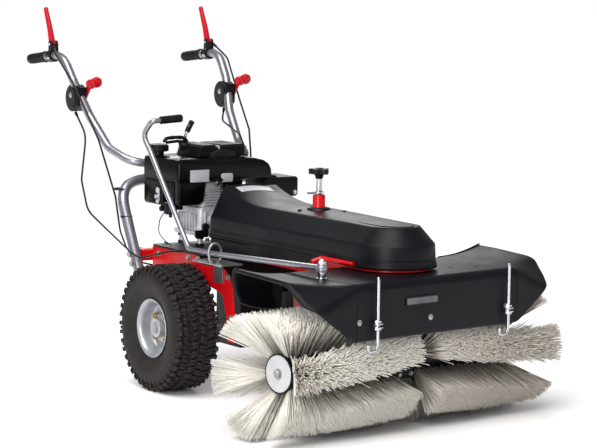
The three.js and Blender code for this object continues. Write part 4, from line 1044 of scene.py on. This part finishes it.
def buildChassis():
    for name, side in sides:
        softCopy("side_plate_" + name, 1.0)
    softCopy("belt_tray", 0.9)
    softCopy("engine_deck", 1.4)
    softCopy("rear_beam", 1.4)
    softCopy("transmission", 4.0, segments=4)
    softCopy("drive_belt", 0.6)
    for node in ("engine_pulley", "brush_pulley"):
        softCopy(node, 0.8)
    bolts = bmesh.new()
    for name, side in sides:
        for y, z in ((-205, 352), (-222, 236), (-226, 190), (200, 376), (20, 384), (-36, 384)):
            bolts = merge(bolts, hexBolt("x", 13, (side * 198.4, side * 205.4), (0, y, z), 10))
        for x, y in ((168, -34), (168, 210), (104, 225), (-10, 232)):
            bolts = merge(bolts, hexBolt("z", 13, (403.4, 410), (side * x, y, 0), 10))
        bolts = merge(bolts, hexBolt("y", 13, (282, 289), (side * 186, 0, 368), 10))
    for x in (-84, 84):
        for y in (-330, -520, -610):
            bolts = merge(bolts, turned("z", [(0, 430.8), (8, 430.8), (8, 429.4), (5.4, 427.4),
                                              (0, 426.8)], (x, y, 0), 20))
    extra(bolts, "frame_bolts", "chassis", "zinc", "zinc", bevel=0.3)


buildChassis()


def buildGuardBar():
    # A bent bar beside the cover's nose.
    shape = bmesh.new()
    for low, high in (((-150, -576, 438), (-129, -592, 448)), ((-129, -592, 448), (-123, -740, 447))):
        shape = merge(shape, tube([Vector(low), Vector(high)], 6.5, 8))
    extra(shape, "guard_bar", "chassis", "red_paint", "redPaint", bevel=0.6)


buildGuardBar()


lever = {"radius": 8, "guideX": -250, "guideY": -219, "pinX": -295, "pinY": -35, "pinZ": 456, "low": 422,
         "top": (-222, 151, 781), "gripEnd": (-152, 147, 786)}


def buildLever():
    pinX, pinY, pinZ = lever["pinX"], lever["pinY"], lever["pinZ"]
    turn = Matrix.Rotation(headTurn, 4, "Z")
    pin = turn @ Vector((pinX, pinY, pinZ))
    pin.y -= 752
    guide = Vector((lever["guideX"], lever["guideY"], 0))
    towards = (guide - pin)
    towards.z = 0
    towards.normalize()
    guideX = lever["guideX"]
    start = pin + towards * 13
    corners = [start, (guideX, lever["guideY"], lever["low"] + 2), (guideX, -71, lever["low"]),
               (guideX, 165, 692), (guideX, 208, 734), (guideX, 154, 779), lever["top"]]
    shape = tube(bent(corners, 30, 10), lever["radius"], 24)
    eye = turned("z", [(6.6, pinZ - 9), (13.6, pinZ - 9), (16.4, pinZ - 6), (16.4, pinZ + 6),
                       (13.6, pinZ + 9), (6.6, pinZ + 9), (6.6, pinZ - 9)], (pin.x, pin.y, 0), 40)
    stand(merge(shape, eye), "swivel_rod", bevel=0.2)
    axis = (Vector(lever["gripEnd"]) - Vector(lever["top"])).normalized()
    gripRun = [Vector(lever["top"]) - axis * 3 + axis * t for t in (0, 1.2, 4, 8, 40, 60, 68, 72, 74)]
    grip = tube(gripRun, 12, 24, [0.82, 0.97, 1, 0.96, 0.96, 1, 1, 0.9, 0.55])
    for t in range(12, 60, 8):
        grip = merge(grip, tube([Vector(lever["top"]) + axis * t,
                                 Vector(lever["top"]) + axis * (t + 3.4)], 12.1, 24))
    stand(grip, "swivel_grip", bevel=0.5)
    nut = turned("z", [(0, 428.4), (17, 428.4), (17, 431), (11, 432), (11, 443), (16, 444), (16, 446.4),
                       (0, 446.4)], (pinX, pinY, 0), 36)
    nut = merge(nut, rod("z", 6, (444, 482), (pinX, pinY, 0), 24),
                rod("z", 14, (466, 468.4), (pinX, pinY, 0), 32))
    nut = merge(nut, hexBolt("z", 19, (468.6, 476.4), (pinX, pinY, 0)),
                hexBolt("z", 19, (433, 442), (pinX, pinY, 0)))
    stand(nut, "rod_pin", onHead=True, bevel=0.5)


buildLever()


def buildGuide():
    x, y = lever["guideX"], lever["guideY"]
    face = -197.4
    plateZ = (396, 400)
    bracket = merge(plate("z", rounded((x - 26, face), (y - 70, y + 90), 7), plateZ),
                    block((face - 4, face), (y + 40, y + 90), (330, 398)))
    for offset in (-52, -34, 30, 46, 62):  # notches that show as slots along the strip
        bracket = merge(bracket, ring("z", 6, 4.4, (plateZ[1] - 0.6, plateZ[1] + 0.8),
                                      (x - 12, y + offset, 0), 24))
    wire, reach = 4, 20
    run = [(x - reach * 0.6, y, 397), (x - reach * 0.86, y, 408)]
    run += [(x + (reach + 1) * math.cos(a), y, 430 + (reach + 4) * math.sin(a))
            for a in (math.pi - i * math.pi / 16 for i in range(17))]
    run += [(x + reach * 0.86, y, 408), (x + reach * 0.6, y, 397)]
    shape = merge(bracket, tube([Vector(p) for p in run], wire, 20))
    for foot in (-12, 12):
        shape = merge(shape, hexBolt("z", 11, (400.4, 406), (x + foot, y, 0), 8))
    stand(shape, "guide_loop", "zinc", bevel=0.4)


buildGuide()
print("chassis and swivel rod made")


handle = {
    "legHalf": 250, "crossZ": 595, "crossY": 358, "footZ": 318, "lean": 0.524, "legRadius": 17,
    "barRadius": 13.5, "gripX": 282, "gripRear": (886, 929), "gripFront": (700, 950), "gripRadius": 16,
}


def legY(z):
    return handle["crossY"] + 10 - (handle["crossZ"] - z) * handle["lean"]


def barHalf(side):
    return [Vector((side * x, y, z)) for x, y, z in (
        (282, 886, 929), (282, 668, 953), (275, 606, 872), (252, 544, 770), (234, 455, 678), (204, 350, 636))]


def onBar(share, side, rise=0):
    rear, front = Vector((side * handle["gripX"], *handle["gripRear"])), Vector((side * handle["gripX"],
        *handle["gripFront"]))
    return rear.lerp(front, share) + Vector((0, 0, rise))


def buildTubes():
    half, crossZ, footZ = handle["legHalf"], handle["crossZ"] - 10, handle["footZ"]
    corners = [(-half, legY(footZ), footZ), (-half, legY(crossZ), crossZ), (half, legY(crossZ), crossZ),
               (half, legY(footZ), footZ)]
    stand(tube(bent(corners, 95, 14), handle["legRadius"], 28), "handle_column", bevel=0.3)
    route = barHalf(-1) + list(reversed(barHalf(1)))
    stand(tube(bent(route, 80, 12), handle["barRadius"], 28), "handlebar", bevel=0.3)
    softCopy("tube_clamp", 2.0, segments=3)
    bolts = bmesh.new()
    for x in (-46, 46):
        bolts = merge(bolts, hexBolt("y", 13, (336, 329), (x, 0, 612), 10),
                      hexBolt("y", 13, (394, 401), (x, 0, 612), 10))
    for side in (-1, 1):
        for z in (342, 368):
            middle = legY(z)
            bolts = merge(bolts, hexBolt("x", 17, (side * 267.4, side * 276), (0, middle, z + 4), 12))
    extra(bolts, "handle_bolts", "chassis", "zinc", "zinc", bevel=0.4)
    ties = bmesh.new()
    for z, y in ((480, legY(480)), (560, legY(560))):
        ties = merge(ties, ring("z", 18.4, 17, (z - 3, z + 3), (-250, y, 0), 28))
    extra(ties, "cable_ties", "chassis", "cable", "cableBlack")


def buildGrip(name, side):
    length = math.dist(handle["gripRear"], handle["gripFront"])
    shares = [(-2, 0.7), (-1, 0.9), (2, 1.0), (8, 1.02), (14, 0.98), (96, 0.98), (102, 1.14), (107, 1.14),
              (111, 1.0)]
    run = [onBar(distance / length, side) for distance, _ in shares]
    grip = tube(run, handle["gripRadius"], 28, [size for _, size in shares])
    for distance in range(18, 94, 5):
        grip = merge(grip, tube([onBar(distance / length, side), onBar((distance + 2.6) / length, side)],
                                handle["gripRadius"] * 1.03, 28))
    stand(grip, "grip_" + name, bevel=0.6)


def buildClutch(name, side):
    x = side * handle["gripX"]
    middle = onBar(0.82, side)
    pivot = (middle.y - 2, middle.z + 36)
    collar = tube([onBar(0.74, side), onBar(0.9, side)], handle["barRadius"] + 6.6, 32)
    for inside in (-11, 7):
        cheek = rounded((pivot[0] - 13, pivot[0] + 13), (middle.z + 10, pivot[1] + 12), 9)
        collar = merge(collar, plate("x", cheek, (x + inside, x + inside + 4)))
    collar = merge(collar, block((x - 11, x + 11), (pivot[0] - 15, pivot[0] - 6),
                                 (middle.z + 8, pivot[1] + 2)))
    stand(collar, "lever_clamp_" + name, "satinBlack", bevel=1.2, segments=3)
    pin = hexBolt("x", 9, (x - 11, x - 15.5), (0, *pivot), 7)
    pin = merge(pin, rod("x", 3.4, (x - 12, x + 14), (0, *pivot), 20),
                hexBolt("x", 9, (x + 11, x + 16), (0, *pivot), 7))
    pin = merge(pin, hexBolt("x", 8, (x - 19.5, x - 24), (0, middle.y - 6, middle.z - 6), 6))
    extra(pin, "lever_pin_" + name, "chassis", "zinc", "chrome", bevel=0.3)
    y, z = pivot
    spine = curved([(y + 6, z - 8), (y + 12, z + 16), (y + 24, z + 50), (y + 40, z + 84),
                    (y + 53, z + 112)], 5)
    run = [Vector((x, *point)) for point in spine]
    last = len(run) - 1
    sizes = [1.36 - 0.52 * (i / last) ** 0.8 for i in range(last)] + [0.8]
    blade = tube(run, 9.6, 24, sizes)
    lean = Matrix.Translation((x, 0, 0)) @ Matrix.Diagonal((0.82, 1, 1, 1)) @ Matrix.Translation((-x, 0, 0))
    blade.transform(lean)
    blade = merge(blade, rod("x", 10, (x - 6.2, x + 6.2), (0, y, z), 32))
    stand(blade, "clutch_lever_" + name, bevel=1.2, segments=3)


def buildControl(name, side):
    y, z = 600, 822
    x = (side * 248, side * 288)
    low, high = min(x), max(x)
    outline = arc((y, z), 42, 126, -109, 40) + [(y - 34, z - 24), (y - 35, z + 20), (y - 30, z + 34)]
    body = plate("x", outline, (low + 3, high - 3))
    inner = plate("x", [(y + (u - y) * 0.72, z + (v - z) * 0.72) for u, v in outline], (low, high))
    body = merge(body, inner, ring("x", 8.5, 4, (low - 0.1, high + 0.1), (0, y - 2, z + 6), 32))
    for offset in (-15, -9, 9, 15):
        body = merge(body, plate("x", [(y + u * 0.96, z + v * 0.96)
                                       for u, v in arc((0, 0), 43.4, 70, -80, 24)
                                       + arc((0, 0), 40, -80, 70, 24)],
                                 ((low + high) / 2 + offset - 1.2, (low + high) / 2 + offset + 1.2)))
    stand(body, "control_housing_" + name, "satinBlack", bevel=2.2, segments=3)
    screw = hexBolt("x", 8, (low - 0.4, low - 3.6), (0, y + 2, z + 8), 8)
    extra(screw, "housing_screw_" + name, "chassis", "zinc", "chrome", bevel=0.3)
    armX = high + 4
    arm = plate("x", [(y + 9, z - 11), (y + 9, z + 12), (y - 38, z + 46), (y - 48, z + 33),
                      (y - 12, z - 8)], (armX - 3.4, armX + 3.4))
    arm = merge(arm, rod("x", 15, (armX - 3.8, armX + 3.8), (0, y, z), 36))
    arm = merge(arm, turned("x", [(0, armX), (9.4, armX), (9.4, armX + 6.6), (7.4, armX + 9),
                                  (0, armX + 9)], (0, y, z), 28))
    knobX = high + 5
    run = [Vector((knobX, y - 40, z + 38)), Vector((knobX, y - 46, z + 43)),
           Vector((knobX, y - 54, z + 48)), Vector((knobX, y - 64, z + 52)),
           Vector((knobX, y - 76, z + 52.6)), Vector((knobX, y - 86, z + 52)),
           Vector((knobX, y - 92, z + 51)), Vector((knobX, y - 94, z + 50.6))]
    knob = tube(run, 14.5, 32, [0.8, 1.15, 1.02, 0.78, 1.05, 1.22, 1.05, 0.6])
    stand(merge(arm, knob), "control_lever_" + name, bevel=1.0, segments=3)


buildTubes()
for sideName, sideSign in sides:
    buildGrip(sideName, sideSign)
    buildClutch(sideName, sideSign)
    buildControl(sideName, sideSign)
print("handle made")


def buildEngineBlock():
    shape = plate("z", rounded((-120, 100), (102, 256), 16), (434, 446))
    shape = merge(shape, pillow("z", rounded((-110, 88), (112, 246), 20), (446, 520), 5))
    for x in range(-92, 80, 15):  # stiffening ribs on the front wall
        shape = merge(shape, block((x, x + 4.4), (107, 114), (446, 500 + 8 * math.sin(x))))
    for y in range(126, 240, 17):
        shape = merge(shape, block((-115, -108), (y, y + 4.4), (446, 498)))
    shape = merge(shape, rod("y", 17, (104, 114), (-62, 0, 478), 32),
                  rod("y", 12, (100, 106), (-62, 0, 478), 32))
    shape = merge(shape, rod("y", 9, (102, 114), (-14, 0, 492), 24))
    shape = merge(shape, pillow("z", rounded((-100, -28), (116, 200), 14), (518, 596), 4))
    for z in range(526, 594, 8):
        shape = merge(shape, pillow("z", rounded((-102, -24), (108, 206), 14), (z, z + 2.6), 0.8, 2))
    for x in (-104, 84):
        for y in (116, 224):
            shape = merge(shape, rod("z", 9, (402.4, 436), (x, y, 0), 28))
    for x in (-104, -64, -20, 84):
        shape = merge(shape, hexBolt("z", 14, (446, 455), (x, 112, 0), 10))
    stand(shape, "engine_block", bevel=0.7)
    dark = bmesh.new()
    for x in (-104, 84):
        for y in (116, 224):
            dark = merge(dark, rod("z", 12.5, (403, 411), (x, y, 0), 28),
                         rod("z", 12.5, (425, 433.4), (x, y, 0), 28))
    dark = merge(dark, block((-128, -84), (99, 108), (430, 452)), rod("y", 11, (92, 104), (-96, 0, 462), 28))
    extra(dark, "engine_fittings", "chassis", "black_plastic", "satinBlack", bevel=0.8)


def buildShroud():
    high = [(-190, 598), (-190, 652), (-186, 663), (-178, 666), (30, 666), (78, 663), (112, 655),
            (130, 643), (138, 628), (140, 612), (140, 598)]
    body = pillow("y", high, (100, 315), 10, 5)
    body = merge(body, pillow("y", [(-188, 602), (-188, 534), (-180, 527), (-114, 527), (-100, 536),
                                    (-95, 552), (-90, 602)], (101, 127.4), 8, 4))
    body = merge(body, block((-150, 36), (205, 308), (520, 602)), block((-24, 38), (112, 210), (526, 602)))
    body = merge(body, pillow("y", [(118, 597), (118, 611), (156, 607), (158, 601), (156, 597)],
                              (104, 180), 2, 2))
    for z in (600, 604):  # the parting line of the two mouldings
        body = merge(body, pillow("y", [(-191.4, z), (-191.4, z + 1.8), (-92, z + 1.8), (-92, z)],
                                  (99.2, 190), 0.6, 2))
    body = merge(body, pillow("y", [(-186, 655), (-180, 661), (40, 661), (40, 657), (-178, 657)],
                              (98.6, 104), 1, 2))
    body = merge(body, pillow("y", [(-76, 597), (-76, 604), (-52, 612), (-36, 604), (-36, 597)],
                              (97, 104), 2, 2))
    stand(body, "engine_shroud", "glossBlack", bevel=0.5)
    labels = pillow("y", rounded((-149, -84), (597, 633), 1.5, 3), (98.9, 100.6), 0.4, 2)
    labels = merge(labels, pillow("y", rounded((-42, -1), (594, 620), 6, 5), (98.9, 100.6), 0.4, 2))
    extra(labels, "engine_labels", "chassis", "tube_paint", "labelWhite")
    screw = hexBolt("y", 11, (97, 92), (-56, 0, 590), 8)
    screw = merge(screw, rod("y", 3, (100, 94), (-22, 0, 584), 16),
                  hexBolt("y", 9, (118, 114), (232, 0, 551), 7))
    extra(screw, "engine_screws", "chassis", "zinc", "chrome", bevel=0.3)


def buildAirCleaner():
    box = pillow("x", rounded((190, 302), (522, 598), 12), (-194, -152.4), 5, 4)
    box = merge(box, pillow("x", rounded((130, 192), (540, 598), 8), (-188, -152.4), 3, 3))
    for inset in (7, 17):
        outer = rounded((190 + inset, 302 - inset), (522 + inset, 598 - inset), 10)
        inner = rounded((193 + inset, 299 - inset), (525 + inset, 595 - inset), 8)
        rim = bmesh.new()
        corners = ([rim.verts.new((-195.6, *point)) for point in outer]
                   + [rim.verts.new((-195.6, *point)) for point in inner])
        count = len(outer)
        lines = ([rim.edges.new((corners[i - 1], corners[i])) for i in range(1, count)]
                 + [rim.edges.new((corners[count - 1], corners[0]))])
        lines += [rim.edges.new((corners[count + i - 1], corners[count + i])) for i in range(1, count)]
        lines += [rim.edges.new((corners[-1], corners[count]))]
        bmesh.ops.bridge_loops(rim, edges=lines)
        grown = bmesh.ops.extrude_face_region(rim, geom=rim.faces[:])
        moved = [item for item in grown["geom"] if isinstance(item, bmesh.types.BMVert)]
        bmesh.ops.translate(rim, verts=moved, vec=(3, 0, 0))
        bmesh.ops.recalc_face_normals(rim, faces=rim.faces[:])
        box = merge(box, rim)
    for z in range(552, 596, 9):
        box = merge(box, block((-190, -186), (136, 186), (z, z + 3)))
    stand(box, "air_cleaner", "glossBlack", bevel=0.6)
    bits = rod("x", 9, (-197, -186), (0, 214, 566), 28)
    bits = merge(bits, rod("x", 5.5, (-199, -186), (0, 206, 549), 24),
                 rod("x", 6.5, (-198, -186), (0, 222, 546), 24))
    bits = merge(bits, hexBolt("x", 11, (-196, -200), (0, 212, 533), 7),
                 block((-196, -190), (204, 211), (536, 572)))
    bits = merge(bits, rod("z", 4, (500, 530), (-182, 166, 0), 20),
                 rod("y", 4, (150, 190), (-184, 0, 528), 20))
    extra(bits, "carburettor_bits", "chassis", "zinc", "castAlloy", bevel=0.5)
    bowl = turned("z", [(0, 496), (16, 496), (20, 501), (20, 522), (24, 526), (24, 531), (0, 531)],
                  (-172, 176, 0), 36)
    bowl = merge(bowl, rod("x", 8, (-196, -150), (0, 196, 512), 24),
                 rod("z", 5, (486, 500), (-172, 176, 0), 20), block((-186, -150), (140, 212), (512, 524)))
    extra(bowl, "carburettor", "chassis", "black_casting", "satinBlack", bevel=0.8)


def buildEngineTop():
    at = (-14, 205, 0)
    drum = turned("z", [(0, 666.4), (84, 666.4), (84, 682), (76, 690), (50, 693), (0, 694)], at, 96)
    for low, high in ((-100, -36), (-22, 62)):  # louvred blocks either side of a bright strap
        slant = 10 if low < -50 else 0
        drum = merge(drum, pillow("y", [(low, 666.4), (low + slant, 698), (low + slant + 6, 703),
                                        (high - 6, 704), (high, 698), (high + 2, 666.4)], (136, 270), 4, 3))
        for i in range(6):
            z = 670 + i * 5.2
            drum = merge(drum, pillow("y", [(low - 1 + slant * i / 6, z),
                                            (low - 1 + slant * i / 6, z + 2.4), (high + 7 - i, z + 2.4),
                                            (high + 7 - i, z)], (131, 268), 1, 2))
        for x in range(low + 14, high - 6, 11):
            drum = merge(drum, block((x, x + 3), (133.4, 136), (668, 699)))
    stand(drum, "recoil_cover", "satinBlack", bevel=0.4)
    strap = pillow("y", [(-33, 667), (-33, 698), (-30, 701), (-27, 698), (-27, 667)], (134, 262), 1.4, 2)
    extra(strap, "tank_strap", "chassis", "zinc", "castAlloy")
    cap = [(0, 666.4), (17, 666.4), (17, 676), (29, 678), (30, 682), (30, 694), (27, 699), (18, 701),
           (0, 701.6)]
    lid = turned("z", cap, (-160, 274, 0), 48)
    for i in range(18):
        angle = math.tau * i / 18
        rib = block((28.6, 31.6), (-2.4, 2.4), (679, 696))
        rib.transform(Matrix.Translation((-160, 274, 0)) @ Matrix.Rotation(angle, 4, "Z"))
        lid = merge(lid, rib)
    stand(lid, "fuel_cap", "satinBlack", bevel=0.6)
    loop = [Vector((x, 240, z)) for x, z in curved([(-158, 706), (-156, 714), (-146, 719), (-120, 720.6),
                                                    (-96, 719), (-84, 712), (-80, 704)], 5)]
    grip = tube(loop, 5.6, 20, [0.7] + [1.0 + 0.08 * math.sin(i * 1.2) for i in range(len(loop) - 2)] + [0.7])
    grip = merge(grip, tube([Vector((-152, 240, 706)), Vector((-112, 240, 709)), Vector((-86, 240, 706))],
                            4.6, 16))
    grip = merge(grip, tube(bent([(-106, 240, 708), (-100, 238, 690), (-84, 234, 670)], 12, 4), 5.5, 20))
    stand(grip, "starter_grip", "satinBlack", bevel=0.3)


def buildMuffler():
    box = pillow("y", rounded((126, 246), (538, 599), 10), (120, 240), 6, 4)
    for x in range(138, 242, 12):  # perforated guard
        for z in range(546, 594, 9):
            box = merge(box, turned("y", [(3.9, 120.4), (3.9, 118.8), (2.6, 118.8), (2.6, 120.4),
                                          (3.9, 120.4)], (x, 0, z), 14))
    for y in range(132, 232, 12):
        for z in range(546, 594, 9):
            box = merge(box, turned("x", [(3.9, 245.6), (3.9, 247.2), (2.6, 247.2), (2.6, 245.6),
                                          (3.9, 245.6)], (0, y, z), 14))
    stand(box, "muffler", "satinBlack", bevel=0.0)


def buildGearLever():
    at = (-44, 326)
    stem = tube(bent([(*at, 362), (*at, 690), (-37, 326, 712), (-24, 326, 750)], 24, 8), 5, 20)
    stem = merge(stem, ring("z", 9, 4.6, (366, 379), (*at, 0), 28))
    stand(stem, "gear_lever", bevel=0.2)
    start, end = Vector((-31, 326, 728)), Vector((-12, 326, 762))
    route = [start.lerp(end, t) for t in (0, 0.04, 0.5, 0.9, 0.97, 1)]
    grip = tube(route, 8, 24, [0.8, 1, 0.94, 1.12, 1.0, 0.6])
    for i in range(9):
        t = 0.08 + i * 0.09
        grip = merge(grip, tube([start.lerp(end, t), start.lerp(end, t + 0.05)], 8.8, 24))
    extra(grip, "gear_grip", "gear", "rubber", "gripRubber", bevel=0.3)


cable = {"radius": 3, "bend": 60, "housing": (600, 822), "pivot": (731.48, 982.22), "gripX": 282,
         "rear": 206.4, "housingX": 268}


def buildCables():
    housing, pivot, gripX, rear = cable["housing"], cable["pivot"], cable["gripX"], cable["rear"]
    fromHousing = (housing[0] + 6, housing[1] - 46)
    routes = {
        "control_cable_right": [
            (-cable["housingX"], *fromHousing), (-275, 523, 712), (-284, 535, 572), (-272, 515, 478),
            (-240, 450, 425), (-215, 400, 385), (-190, 320, 335), (-150, rear, 325)],
        "clutch_cable_right": [
            (-gripX - 8, pivot[0] - 17, pivot[1] - 4), (-308, 665, 955), (-314, 520, 860),
            (-290, 413, 705), (-276, 330, 540),
            (-276, 300, 440), (-276, 255, 385), (-262, 200, 365), (-226, 90, 396), (-216, 60, 399),
            (-201, 60, 399)],
        "control_cable_left": [
            (cable["housingX"], *fromHousing), (240, 570, 740), (200, 393, 708), (175, 300, 641),
            (165, 335, 540), (150, 345, 420), (70, 330, 318), (60, rear, 325)],
        "clutch_cable_left": [
            (gripX + 8, pivot[0] - 17, pivot[1] - 4), (314, 665, 935), (314, 585, 803), (270, 453, 719),
            (200, 325, 640), (185, 325, 540), (170, 335, 420), (125, 330, 318), (110, rear, 325)],
    }
    for name, route in routes.items():
        run = bent(route, cable["bend"], 8)
        ferrule = tube([run[0], run[0] + (run[1] - run[0]).normalized() * 14], 4.4, 16)
        stand(merge(tube(run, cable["radius"], 16), ferrule), name, bevel=0.0)
    throttle = bent([(-190, 160, 516), (-212, 170, 486), (-206, 190, 440), (-188, 170, 412),
                     (-176, 160, 403)], 40, 8)
    extra(tube(throttle, 1.6, 12), "throttle_cable", "chassis", "cable", "cableBlack")


buildEngineBlock()
buildShroud()
buildAirCleaner()
buildEngineTop()
buildMuffler()
buildGearLever()
buildCables()
print("engine and cables made")


def buildStage():
    floor = bmesh.new()
    bmesh.ops.create_grid(floor, x_segments=1, y_segments=1, size=150)
    mesh = bpy.data.meshes.new("floor")
    floor.to_mesh(mesh)
    floor.free()
    ground = bpy.data.objects.new("floor", mesh)
    bpy.context.scene.collection.objects.link(ground)
    material = bpy.data.materials.new("paleFloor")
    material.use_nodes = True
    shader = material.node_tree.nodes["Principled BSDF"]
    shader.inputs["Base Color"].default_value = (0.985, 0.985, 0.985, 1)
    shader.inputs["Roughness"].default_value = 0.7
    shader.inputs["Specular IOR Level"].default_value = 0.2
    mesh.materials.append(material)
    world = bpy.data.worlds.new("studio")
    world.use_nodes = True
    fill = world.node_tree.nodes["Background"]
    fill.inputs["Color"].default_value = (1, 1, 1, 1)
    fill.inputs["Strength"].default_value = studio["fill"]
    bpy.context.scene.world = world
    sky = bpy.data.lights.new("sky", "SUN")
    sky.energy = studio["sun"]["strength"]
    sky.angle = math.radians(studio["sun"]["spread"])
    holder = bpy.data.objects.new("sky", sky)
    holder.rotation_euler = (-Vector(studio["sun"]["from"])).to_track_quat("-Z", "Y").to_euler()
    bpy.context.scene.collection.objects.link(holder)
    for name, lamp in studio["lamps"].items():
        light = bpy.data.lights.new(name, "AREA")
        light.shape = "RECTANGLE"
        light.size, light.size_y = lamp["size"]
        light.energy = lamp["power"]
        holder = bpy.data.objects.new(name, light)
        holder.location = lamp["at"]
        aim = Vector(lamp["towards"]) - Vector(lamp["at"])
        holder.rotation_euler = aim.to_track_quat("-Z", "Y").to_euler()
        bpy.context.scene.collection.objects.link(holder)


studio = {
    "fill": 0.24,
    "sun": {"strength": 3.0, "spread": 50, "from": (-0.45, -0.25, 1.0)},
    "lamps": {
        "left": {"at": (-3.4, -2.9, 1.3), "towards": (-0.1, -0.5, 0.3), "size": (1.0, 2.2), "power": 78},
        "front": {"at": (-0.8, -5.2, 2.6), "towards": (0, -0.6, 0.3), "size": (1.6, 1.2), "power": 6},
        "behind": {"at": (1.6, 3.4, 2.2), "towards": (0, 0, 0.6), "size": (2.6, 1.4), "power": 46},
    },
}

view = {"at": (-4.0165, -6.5018, 1.3379), "turn": -32.549, "down": 6.381, "roll": 0.757, "lens": 156.8}


def buildCamera():
    turn, down, roll = (math.radians(view[key]) for key in ("turn", "down", "roll"))
    forward = Vector((-math.sin(turn) * math.cos(down), math.cos(turn) * math.cos(down), -math.sin(down)))
    right = Vector((math.cos(turn), math.sin(turn), 0))
    up = right.cross(forward)
    rolledRight = right * math.cos(roll) + up * math.sin(roll)
    rolledUp = up * math.cos(roll) - right * math.sin(roll)
    camera = bpy.data.cameras.new("camera")
    camera.lens = view["lens"]
    camera.sensor_width = 36
    camera.clip_end = 400
    holder = bpy.data.objects.new("camera", camera)
    facing = Matrix((rolledRight, rolledUp, -forward)).transposed().to_4x4()
    holder.matrix_world = Matrix.Translation(view["at"]) @ facing
    bpy.context.scene.collection.objects.link(holder)
    bpy.context.scene.camera = holder


buildStage()
buildCamera()
bpy.context.scene.view_settings.view_transform = "Standard"
print("stage made")
